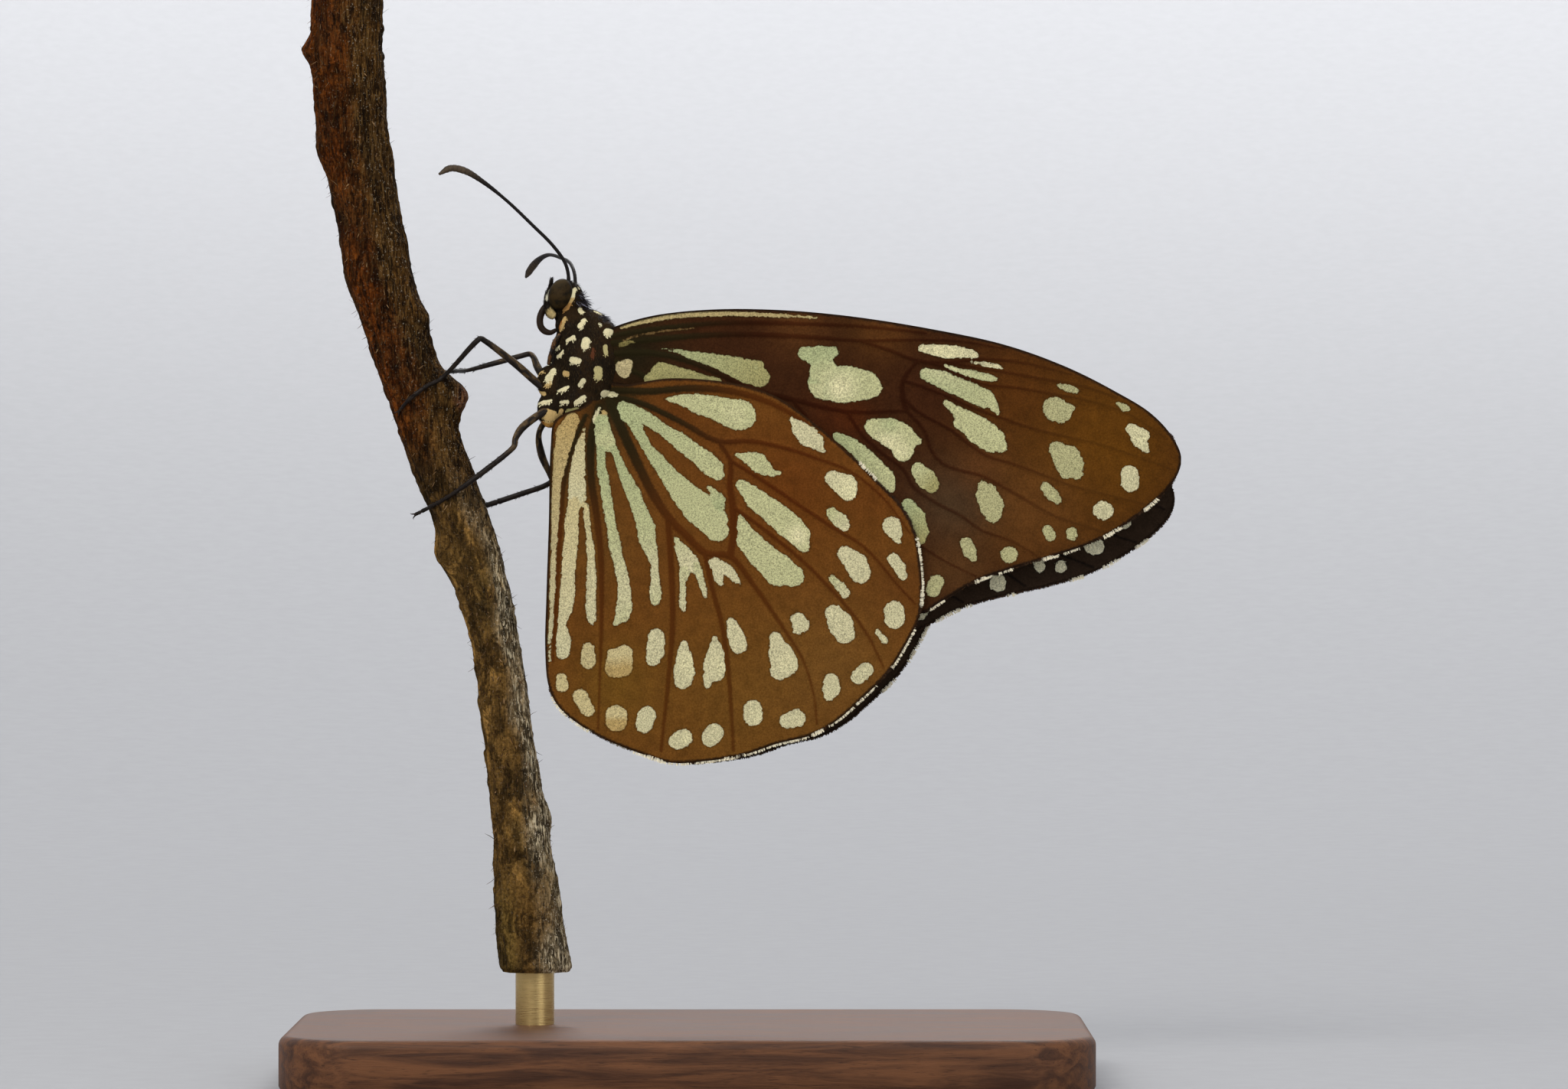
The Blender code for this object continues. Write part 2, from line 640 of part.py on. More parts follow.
# Veins: points, then whether the vein runs out to the wing's edge
FOREWING_VEINS = {
    "subcosta": ([(-6.3, 61.3), (-2.0, 61.95), (3.0, 62.35), (9.0, 62.3), (15.0, 62.0), (19.5, 61.5)], True),
    "radius": ([(-6.3, 60.7), (-3.0, 61.0), (3.0, 61.4), (9.0, 61.25), (14.0, 60.9), (18.5, 60.95),
                (22.5, 60.8), (26.0, 60.2)], True),
    "radius_2": ([(14.0, 60.9), (16.5, 60.1), (18.8, 59.25), (21.5, 59.1), (24.0, 59.35), (27.5, 59.05),
                  (31.5, 58.1)], True),
    "radius_4": ([(21.5, 59.1), (23.5, 58.7), (26.0, 58.3), (29.0, 57.75), (32.5, 57.1), (35.2, 56.2)], True),
    "radius_5": ([(18.8, 59.25), (20.8, 58.8), (22.2, 58.1), (24.3, 57.3), (27.0, 57.0), (30.0, 56.5),
                  (33.0, 55.9), (36.0, 54.9), (39.3, 52.8)], True),
    "media_1": ([(17.6, 57.6), (19.5, 57.0), (21.5, 56.2), (23.5, 55.3), (25.8, 54.5), (28.5, 53.6),
                 (31.0, 53.0), (34.0, 52.3), (37.0, 51.3), (39.7, 50.3)], True),
    "media_2": ([(17.6, 56.2), (18.9, 55.0), (21.6, 53.5), (23.0, 52.4), (24.5, 51.4), (26.8, 50.7),
                 (29.0, 49.9), (31.0, 49.1), (34.0, 48.3), (37.6, 47.4)], True),
    "media_3": ([(17.9, 55.1), (19.4, 53.4), (19.8, 52.1), (20.7, 50.9), (22.3, 50.2), (24.0, 49.8),
                 (27.0, 48.2), (30.2, 46.4), (32.0, 45.8), (34.2, 45.1)], True),
    "cell_end": ([(18.8, 59.25), (17.6, 57.6), (17.6, 56.2), (17.9, 55.1)], False),
    "cubitus": ([(-6.3, 59.8), (-3.5, 59.9), (-1.0, 59.5), (2.0, 58.4), (5.0, 56.9), (8.5, 56.05),
                 (13.0, 55.05), (17.9, 55.1)], False),
    "cubitus_1": ([(13.0, 55.05), (14.1, 53.3), (15.8, 51.7), (17.6, 50.3), (18.5, 48.8), (20.2, 47.6),
                   (22.5, 46.4), (24.0, 45.3), (26.5, 44.4), (28.6, 43.2)], True),
    "cubitus_2": ([(8.5, 56.05), (10.5, 53.5), (13.0, 50.0), (16.0, 46.3), (19.2, 43.9), (21.5, 42.5),
                   (23.6, 41.5)], True),
    "anal": ([(-6.2, 59.2), (-1.0, 56.4), (5.0, 51.3), (11.0, 46.0), (16.5, 41.3), (18.9, 39.2)], True),
}
HINDWING_VEINS = {
    "subcosta": ([(-6.4, 56.8), (-3.3, 56.7), (0.0, 56.95), (3.5, 56.7), (6.8, 55.7), (9.7, 54.1)], True),
    "radius": ([(-6.4, 56.3), (-4.0, 55.75), (-0.7, 54.2), (2.4, 52.6), (5.0, 52.6), (8.0, 52.0),
                (11.0, 51.0), (13.3, 50.1), (16.0, 47.9), (18.2, 45.0)], True),
    "cell_end": ([(2.4, 52.6), (3.4, 51.0), (3.35, 49.0), (3.6, 47.2), (3.65, 45.0), (3.4, 43.1)], False),
    "media_1": ([(3.4, 51.0), (6.0, 49.4), (9.1, 47.3), (12.0, 45.4), (14.5, 43.8), (17.3, 40.6),
                 (18.6, 39.2)], True),
    "media_2": ([(3.6, 47.2), (6.5, 45.1), (9.5, 42.6), (12.7, 39.3), (14.6, 36.8), (16.0, 34.0)], True),
    "cubitus": ([(-6.5, 55.9), (-5.5, 53.5), (-4.2, 50.7), (-3.0, 48.3), (-1.75, 46.4), (0.0, 44.6),
                 (1.3, 43.4), (3.4, 43.1), (5.0, 41.2), (7.7, 37.3), (9.4, 34.5), (10.3, 31.5),
                 (10.5, 29.3)], True),
    "cubitus_1": ([(1.3, 43.4), (1.9, 40.5), (2.7, 37.5), (3.2, 34.0), (3.5, 30.0), (3.65, 27.2)], True),
    "cubitus_2": ([(-1.75, 46.4), (-1.5, 43.0), (-1.35, 38.0), (-1.6, 34.0), (-2.0, 30.0),
                   (-2.3, 27.1)], True),
    "anal_2": ([(-7.4, 55.4), (-8.0, 53.0), (-8.05, 49.5), (-7.6, 46.5), (-7.25, 43.0), (-7.2, 38.0),
                (-7.35, 33.0), (-7.5, 28.9)], True),
    "anal_3": ([(-8.5, 54.7), (-9.1, 53.4), (-10.15, 50.0), (-10.55, 46.0), (-10.75, 43.0), (-11.0, 38.0),
                (-11.2, 34.5)], True),
}


def forewing_offset(x, z):
    """How far the near forewing's middle surface lies from the middle plane."""
    from_root = math.hypot(x - FOREWING_ROOT[0], z - FOREWING_ROOT[1])
    sway = 0.22 * math.sin(0.13 * x + 0.05 * z) * ease(0.0, 20.0, from_root)
    return FOREWING_OFF_MIDPLANE + 0.012 * max(0.0, x + 6.0) + 0.55 * math.exp(-from_root / 5.0) + sway


def hindwing_offset(x, z):
    """The hindwing lies outside the forewing, rounds the abdomen and dives to its root."""
    from_root = math.hypot(x - HINDWING_ROOT[0], z - HINDWING_ROOT[1])
    over_abdomen = 0.34 * math.exp(-((x + 9.4) / 2.5) ** 2) * ease(33.0, 37.0, z)
    curl = 0.55 * ease(-10.6, -12.0, x) * ease(33.0, 38.0, z)
    dive = 1.05 * math.exp(-(from_root / 1.7) ** 2)
    return forewing_offset(x, z) + HINDWING_OUTSIDE_FOREWING + over_abdomen - curl - dive


def nearest_on_line(point, line):
    """Distance from a point to a polyline and the share of its length there."""
    best, share, run = 1e9, 0.0, 0.0
    for a, b in zip(line, line[1:]):
        way = b - a
        t = min(1.0, max(0.0, (point - a).dot(way) / way.length_squared))
        gap = (point - a - way * t).length
        if gap < best:
            best, share = gap, run + way.length * t
        run += way.length
    return best, share, run


def vein_rise(point, veins):
    """Height of the ridges over the membrane at a point."""
    rise = 0.0
    for line, to_edge in veins:
        gap, along, length = nearest_on_line(point, line)
        if gap >= VEIN_HALF_WIDTH:
            continue
        fade = 1.0 - 0.75 * ease(length - VEIN_FADE_LENGTH, length, along) if to_edge else 1.0
        rise = max(rise, VEIN_HEIGHT * (1.0 - gap / VEIN_HALF_WIDTH) * fade)
    return rise


def wing_sheet(outline, vein_table):
    """Triangles of a wing's plan, with an edge down each vein's crest and both its feet."""
    border = spline([Vector(p) for p in outline], 1.5, closed=True)
    veins = [(spline([Vector(p) for p in pts], 2.2), to_edge) for pts, to_edge in vein_table.values()]
    points = list(border)
    edges = [(i, (i + 1) % len(border)) for i in range(len(border))]

    def inside(p, margin):
        hit = False
        for a, b in zip(border, border[1:] + border[:1]):
            if (a.y > p.y) != (b.y > p.y) and p.x < a.x + (b.x - a.x) * (p.y - a.y) / (b.y - a.y):
                hit = not hit
        return hit and nearest_on_line(p, border + border[:1])[0] > margin

    def add_line(line):
        run = []
        for p in line:
            if inside(p, 0.3):
                points.append(p)
                run.append(len(points) - 1)
            else:
                edges.extend(zip(run, run[1:]))
                run = []
        edges.extend(zip(run, run[1:]))

    for line, _ in veins:
        add_line(line)
        for sign in (-1, 1):
            foot = []
            for i, p in enumerate(line):
                way = (line[min(i + 1, len(line) - 1)] - line[max(i - 1, 0)]).normalized()
                foot.append(p + Vector((-way.y, way.x)) * VEIN_HALF_WIDTH * sign)
            add_line(foot)
    low = (min(p.x for p in border), min(p.y for p in border))
    high = (max(p.x for p in border), max(p.y for p in border))
    for row in range(int((high[1] - low[1]) / WING_GRID) + 1):
        for col in range(int((high[0] - low[0]) / WING_GRID) + 2):
            p = Vector((low[0] + WING_GRID * (col + 0.5 * (row % 2)), low[1] + WING_GRID * row))
            if inside(p, 1.0) and all(nearest_on_line(p, line)[0] > 1.1 for line, _ in veins):
                points.append(p)
    flat = delaunay_2d_cdt(points, edges, [tuple(range(len(border)))], 1, 0.04)
    return flat[0], flat[2], veins


def sized(x, z, root):
    """A drawn point of a wing, moved from its root by the forewing's length over the drawn one."""
    grow = FOREWING_LENGTH / DRAWN_FOREWING_LENGTH
    return root[0] + (x - root[0]) * grow, root[1] + (z - root[1]) * grow


def make_wing(name, outline, vein_table, root, offset, side, place, mat):
    """A wing with the same triangles on both faces and the veins raised on both."""
    plan, triangles, veins = wing_sheet(outline, vein_table)
    count = len(plan)
    inner, outer = [], []
    for p in plan:
        middle = offset(p.x, p.y)
        half = WING_HALF_THICKNESS + vein_rise(p, veins)
        x, z = sized(*place(p.x, p.y), root)
        inner.append((x, side * (middle - half), z))
        outer.append((x, side * (middle + half), z))
    faces = []
    ways = {}
    for tri in triangles:
        tri = tuple(tri)
        faces.append(tri)
        faces.append(tuple(count + k for k in reversed(tri)))
        for a, b in zip(tri, tri[1:] + tri[:1]):
            ways[(a, b)] = True
    for a, b in ways:
        if (b, a) not in ways:
            faces.append((b, a, count + a, count + b))
    obj = add_object(name, inner + outer, faces, mat)
    apply_boolean(obj, thorax_cutters(), "DIFFERENCE")
    smooth(obj, 30.0)
    return obj


def stay(x, z):
    return x, z


def turn_far_forewing(x, z):
    """The far forewing is turned down and out a little, so its edge shows past the near one."""
    dx, dz = x - FOREWING_ROOT[0], z - FOREWING_ROOT[1]
    c, s = math.cos(FAR_FOREWING_TURN), math.sin(FAR_FOREWING_TURN)
    share = ease(2.0, 14.0, math.hypot(dx, dz))
    return (FOREWING_ROOT[0] + dx * c + dz * s + FAR_FOREWING_SHIFT[0] * share,
            FOREWING_ROOT[1] - dx * s + dz * c + FAR_FOREWING_SHIFT[1] * share)


def shift_far_hindwing(x, z):
    """The far hindwing reaches out a little further, but keeps its root."""
    dx, dz = x - HINDWING_ROOT[0], z - HINDWING_ROOT[1]
    share = ease(2.0, 14.0, math.hypot(dx, dz))
    return x + FAR_HINDWING_SHIFT[0] * share, z + FAR_HINDWING_SHIFT[1] * share


def build():
    clear_scene()
    stand_wood = make_material("stand_wood", (0.10, 0.055, 0.03), 0.35)
    steel = make_material("rod_metal", (0.55, 0.52, 0.46), 0.3, 1.0)
    bark = make_material("bark", (0.20, 0.13, 0.08), 0.85)
    body = make_material("body_black", (0.03, 0.025, 0.02), 0.55)
    leg = make_material("leg_dark", (0.05, 0.04, 0.03), 0.5)
    eye = make_material("eye_dark", (0.06, 0.03, 0.02), 0.2)
    wing = make_material("wing_brown", (0.16, 0.085, 0.03), 0.6)
    make_base(stand_wood)
    make_rod(steel)
    make_perch(bark)
    make_thorax(body)
    make_head(body)
    make_abdomen(body)
    for side, word in ((-1, "left"), (1, "right")):
        make_eye(side, 0.0, eye, "eye_" + word).data.shade_smooth()
        make_palp(side, body)
    make_proboscis(leg)
    make_antenna("antenna_left", NEAR_ANTENNA, leg)
    make_antenna("antenna_right", FAR_ANTENNA, leg)
    for name in LEGS:
        make_leg(name, leg)
    for side, word in ((-1, "left"), (1, "right")):
        fore_place = stay if side < 0 else turn_far_forewing
        hind_place = stay if side < 0 else shift_far_hindwing
        make_wing("forewing_" + word, FOREWING_OUTLINE, FOREWING_VEINS, FOREWING_ROOT, forewing_offset,
                  side, fore_place, wing)
        make_wing("hindwing_" + word, HINDWING_OUTLINE, HINDWING_VEINS, HINDWING_ROOT, hindwing_offset,
                  side, hind_place, wing)


build()
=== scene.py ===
# Looks for the blue tiger butterfly: wings with veins and markings, one body skin with its coat,
# legs, feelers, eyes, the cut branch and its stand. Lengths are millimetres in the CAD frame.
import math

import bpy
import numpy as np
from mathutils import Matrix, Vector
from mathutils.geometry import delaunay_2d_cdt


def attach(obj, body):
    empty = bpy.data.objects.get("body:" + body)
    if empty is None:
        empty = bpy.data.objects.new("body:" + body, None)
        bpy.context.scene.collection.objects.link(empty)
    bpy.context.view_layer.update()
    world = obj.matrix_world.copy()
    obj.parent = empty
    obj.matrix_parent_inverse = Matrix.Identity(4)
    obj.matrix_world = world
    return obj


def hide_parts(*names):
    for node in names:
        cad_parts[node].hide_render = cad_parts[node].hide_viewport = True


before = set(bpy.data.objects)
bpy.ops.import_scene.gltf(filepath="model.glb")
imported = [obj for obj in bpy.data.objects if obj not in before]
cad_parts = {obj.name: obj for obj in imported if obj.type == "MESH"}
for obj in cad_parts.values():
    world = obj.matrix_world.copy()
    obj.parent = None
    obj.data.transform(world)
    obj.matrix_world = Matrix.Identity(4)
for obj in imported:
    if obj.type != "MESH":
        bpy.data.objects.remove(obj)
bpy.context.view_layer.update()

MM = 0.001

# Camera: how wide the photo's frame is in the plane of the near wings, and what it centres on
FRAME_WIDTH = 129.02
FRAME_CENTRE = (7.81, 44.1)
NEAR_WING_PLANE = -1.8
CAMERA_DISTANCE = 600.0
SENSOR_WIDTH = 36.0


def srgb(red, green, blue):
    """A display colour of 0 to 255 as a linear one."""
    c = np.array([red, green, blue], float) / 255.0
    return np.where(c <= 0.04045, c / 12.92, ((c + 0.055) / 1.055) ** 2.4)


# Small functions

def ease(low, high, value):
    t = np.clip((np.asarray(value, float) - low) / (high - low), 0.0, 1.0)
    return t * t * (3 - 2 * t)


def blend(a, b, share):
    """Colours a to b by a share, either one for all or one a point."""
    share = np.asarray(share, float)[..., None]
    return np.asarray(a) * (1 - share) + np.asarray(b) * share


def unit(v):
    v = np.asarray(v, float)
    return v / np.maximum(np.linalg.norm(v, axis=-1, keepdims=True), 1e-9)


def run_along(path):
    """Length along a path at each of its points."""
    return np.concatenate([[0], np.cumsum(np.linalg.norm(np.diff(path, axis=0), axis=1))])


def ring_quads(sides, bands):
    """Quads between rings of points that follow one another, `bands` rows of them."""
    k = np.arange(sides)
    n = (k + 1) % sides
    rings = [(i * sides, (i + 1) * sides) for i in range(bands)]
    return np.concatenate([np.stack([one + k, one + n, two + n, two + k], 1) for one, two in rings])


def fan(first, sides, tip):
    """Triangles from a ring of points, whose first is `first`, to one point."""
    k = np.arange(sides)
    return np.stack([first + k, first + (k + 1) % sides, np.full(sides, tip)], 1)


def split_quads(quads):
    """Each quad as two triangles."""
    return np.concatenate([quads[:, [0, 1, 2]], quads[:, [0, 2, 3]]])


def curve_through(points, spacing, closed=False):
    """Centripetal Catmull-Rom curve through the rows of points; other columns ride along."""
    pts = np.asarray(points, float)
    count = len(pts)
    out = []
    for i in range(count if closed else count - 1):
        if closed:
            p0, p1, p2, p3 = (pts[(i + k) % count] for k in (-1, 0, 1, 2))
        else:
            p1, p2 = pts[i], pts[i + 1]
            p0 = pts[i - 1] if i > 0 else 2 * p1 - p2
            p3 = pts[i + 2] if i + 2 < count else 2 * p2 - p1
        t01, t12, t23 = (max(np.linalg.norm(b - a), 1e-6) ** 0.5 for a, b in ((p0, p1), (p1, p2), (p2, p3)))
        m1 = p2 - p1 + ((p1 - p0) / t01 - (p2 - p0) / (t01 + t12)) * t12
        m2 = p2 - p1 + ((p3 - p2) / t23 - (p3 - p1) / (t12 + t23)) * t12
        steps = max(1, int(round(np.linalg.norm(p2 - p1) / spacing)))
        t = (np.arange(steps) / steps)[:, None]
        a = (p1 - p2) * 2 + m1 + m2
        b = (p1 - p2) * -3 - m1 * 2 - m2
        out.append(a * t ** 3 + b * t ** 2 + m1 * t + p1)
    if not closed:
        out.append(pts[-1:])
    return np.concatenate(out)


def lattice(ix, iy, seed):
    """A repeatable number from 0 to 1 at whole coordinates."""
    n = ix.astype(np.int64) * 374761393 + iy.astype(np.int64) * 668265263 + seed * 974634777
    n = (n ^ (n >> 13)) * 1274126177
    n = n ^ (n >> 16)
    return (n & 0xFFFFFF) / float(0xFFFFFF)


def noise(x, y, seed, wrap=None):
    """Smooth noise from -1 to 1. `wrap` makes it repeat in x."""
    x, y = np.asarray(x, float), np.asarray(y, float)
    ix, iy = np.floor(x), np.floor(y)
    fx, fy = x - ix, y - iy
    fx, fy = fx * fx * (3 - 2 * fx), fy * fy * (3 - 2 * fy)
    ix1 = ix + 1
    if wrap:
        ix, ix1 = ix % wrap, ix1 % wrap
    low = lattice(ix, iy, seed) * (1 - fx) + lattice(ix1, iy, seed) * fx
    high = lattice(ix, iy + 1, seed) * (1 - fx) + lattice(ix1, iy + 1, seed) * fx
    return (low * (1 - fy) + high * fy) * 2 - 1


def to_segments(points, chain):
    """Distance from points to each row's piece of a chain, and the share along the whole chain.
    A third column of the chain is a radius taken off the distance."""
    chain = np.asarray(chain, float)
    if len(chain) == 1:
        chain = np.concatenate([chain, chain + 1e-4])
    a, b = chain[:-1], chain[1:]
    way = b[:, :2] - a[:, :2]
    size = np.maximum((way ** 2).sum(1), 1e-9)
    t = ((points[:, None, :] - a[None, :, :2]) * way[None]).sum(2) / size
    t = np.clip(t, 0, 1)
    near = a[None, :, :2] + way[None] * t[..., None]
    gap = np.linalg.norm(points[:, None, :] - near, axis=2)
    if chain.shape[1] > 2:
        gap = gap - (a[:, 2] + (b[:, 2] - a[:, 2]) * t)
    best = gap.argmin(1)
    rows = np.arange(len(points))
    lengths = np.sqrt(size)
    before = np.concatenate([[0], np.cumsum(lengths)[:-1]])
    along = before[best] + t[rows, best] * lengths[best]
    return gap[rows, best], along / lengths.sum(), lengths.sum()


# Meshes

class Build:
    """Gathers points, faces and values a point into one mesh."""

    def __init__(self):
        self.points, self.faces, self.values, self.count = [], {}, {}, 0

    def add(self, points, *face_sets, **values):
        points = np.asarray(points, float)
        for faces in face_sets:
            faces = np.asarray(faces, np.int64)
            if len(faces):
                self.faces.setdefault(faces.shape[1], []).append(faces + self.count)
        for name, value in values.items():
            value = np.asarray(value, float)
            if name in ("tone", "mark_tone"):
                value = np.broadcast_to(value, (len(points), 3))
            else:
                value = np.broadcast_to(value, (len(points),))
            self.values.setdefault(name, []).append(value)
        self.points.append(points)
        self.count += len(points)
        return self

    def piece(self, name, mats, slot, hides=()):
        points = np.concatenate(self.points)
        sets = [np.concatenate(f) for f in self.faces.values()]
        values = {k: np.concatenate(v) for k, v in self.values.items()}
        return make_piece(name, points, sets, values, mats, hides)


def add_object(name, data):
    obj = bpy.data.objects.new(name, data)
    bpy.context.scene.collection.objects.link(obj)
    return obj


def make_mesh(name, points, sets):
    mesh = bpy.data.meshes.new(name)
    points = np.asarray(points, np.float32)
    loops = np.concatenate([f.ravel() for f in sets]).astype(np.int32)
    sizes = np.concatenate([np.full(len(f), f.shape[1]) for f in sets])
    starts = np.concatenate([[0], np.cumsum(sizes)[:-1]]).astype(np.int32)
    mesh.vertices.add(len(points))
    mesh.vertices.foreach_set("co", points.ravel())
    mesh.loops.add(len(loops))
    mesh.loops.foreach_set("vertex_index", loops)
    mesh.polygons.add(len(sizes))
    mesh.polygons.foreach_set("loop_start", starts)
    mesh.update(calc_edges=True)
    return mesh


def make_piece(name, points, sets, values, mats, hides=()):
    """A visible piece of the part, in millimetres, riding on the one body."""
    mesh = make_mesh(name, np.asarray(points, float) * MM, sets)
    for key, value in values.items():
        if value.ndim == 2:
            attribute = mesh.attributes.new(key, "FLOAT_COLOR", "POINT")
            rgba = np.concatenate([value, np.ones((len(value), 1))], axis=1).astype(np.float32)
            attribute.data.foreach_set("color", rgba.ravel())
        else:
            attribute = mesh.attributes.new(key, "FLOAT", "POINT")
            attribute.data.foreach_set("value", value.astype(np.float32))
    mesh.shade_smooth()
    for mat in mats if isinstance(mats, (list, tuple)) else [mats]:
        mesh.materials.append(mat)
    obj = add_object(name, mesh)
    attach(obj, "root")
    if hides:
        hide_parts(*hides)
    return obj


def sweep(path, radii, sides=14, start=(0.0, 1.0, 0.0)):
    """A closed tube. radii is one a ring, or two for an oval, the first across `start`.
    Gives points, quads, triangles, share along and angle a point."""
    path = np.asarray(path, float)
    count = len(path)
    radii = np.asarray(radii, float)
    if radii.ndim == 1:
        radii = np.stack([radii, radii], axis=1)
    tangent = unit(np.gradient(path, axis=0))
    side = np.asarray(start, float)
    angle = np.arange(sides) * 2 * np.pi / sides
    rings = []
    for i in range(count):
        side = side - tangent[i] * side.dot(tangent[i])
        side = side / max(np.linalg.norm(side), 1e-9)
        up = np.cross(tangent[i], side)
        across, along = np.cos(angle) * radii[i, 0], np.sin(angle) * radii[i, 1]
        rings.append(path[i] + np.outer(across, side) + np.outer(along, up))
    points = np.concatenate(rings + [path[:1] - tangent[:1] * radii[0].mean() * 0.5,
                                     path[-1:] + tangent[-1:] * radii[-1].mean() * 0.5])
    k = np.arange(sides)
    n = (k + 1) % sides
    first, last, end = count * sides, count * sides + 1, (count - 1) * sides
    tris = np.concatenate([np.stack([np.full(sides, first), n, k], 1),
                           np.stack([np.full(sides, last), end + k, end + n], 1)])
    run = run_along(path)
    share = np.concatenate([np.repeat(run / run[-1], sides), [0, 1]])
    turn = np.concatenate([np.tile(angle, count), [0, 0]])
    return points, ring_quads(sides, count - 1), tris, share, turn


BLADE_PATCH = 0.003


def blades(name, roots, ways, normals, lengths, widths, tones, places, mat,
           tip=0.2, lift=0.15, curl=0.1):
    """Thin tapered tufts of three cross lines each, with a colour a tuft and an OFBake patch a tuft."""
    count = len(roots)
    roots, normals = np.asarray(roots, float), unit(normals)
    ways = unit(np.asarray(ways, float) - normals * (np.asarray(ways) * normals).sum(1, keepdims=True))
    across = np.cross(ways, normals)
    lengths = np.broadcast_to(np.asarray(lengths, float), (count,))[:, None]
    widths = np.broadcast_to(np.asarray(widths, float), (count,))[:, None]
    lift = np.broadcast_to(np.asarray(lift, float), (count,))[:, None]
    rows = []
    for t, wide in ((0.0, 1.0), (0.55, 0.9), (1.0, tip)):
        centre = roots + ways * lengths * t + normals * lengths * (lift * t + curl * t * t * lift)
        rows.append(centre - across * widths * wide * 0.5)
        rows.append(centre + across * widths * wide * 0.5)
    points = np.stack(rows, axis=1).reshape(-1, 3)
    base = (np.arange(count) * 6)[:, None]
    quads = np.concatenate([base + np.array([[0, 1, 3, 2]]), base + np.array([[2, 3, 5, 4]])])
    tone = np.repeat(np.broadcast_to(np.asarray(tones, float), (count, 3)), 6, axis=0)
    root_to_tip = np.tile([0, 0, 0.55, 0.55, 1, 1], count)
    obj = make_piece(name, points, [quads], {"tone": tone, "reach": root_to_tip}, mat)
    corner = np.array([(u, v) for v in (-0.5, 0.0, 0.5) for u in (-0.5, 0.5)]) * BLADE_PATCH
    uv = np.clip(np.asarray(places, float), 0.01, 0.99)[:, None, :] + corner[None]
    uv = uv.reshape(-1, 2)[quads.ravel()].astype(np.float32)
    obj.data.uv_layers.new(name="OFBake").data.foreach_set("uv", uv.ravel())
    return obj


def scatter(rng, points, tris, count, weight=None):
    """Random places on a triangle mesh, even by area: triangle numbers and shares of their corners."""
    a, b, c = (points[tris[:, k]] for k in range(3))
    area = np.linalg.norm(np.cross(b - a, c - a), axis=1)
    if weight is not None:
        area = area * weight
    pick = rng.choice(len(tris), count, p=area / area.sum())
    u, v = rng.random(count), rng.random(count)
    flip = u + v > 1
    u[flip], v[flip] = 1 - u[flip], 1 - v[flip]
    share = np.stack([1 - u - v, u, v], axis=1)
    return pick, share


def at_places(values, tris, pick, share):
    """A value a point, read at scattered places."""
    values = np.asarray(values, float)
    corners = values[tris[pick]]
    if corners.ndim == 2:
        return (corners * share).sum(1)
    return (corners * share[..., None]).sum(1)


# Materials

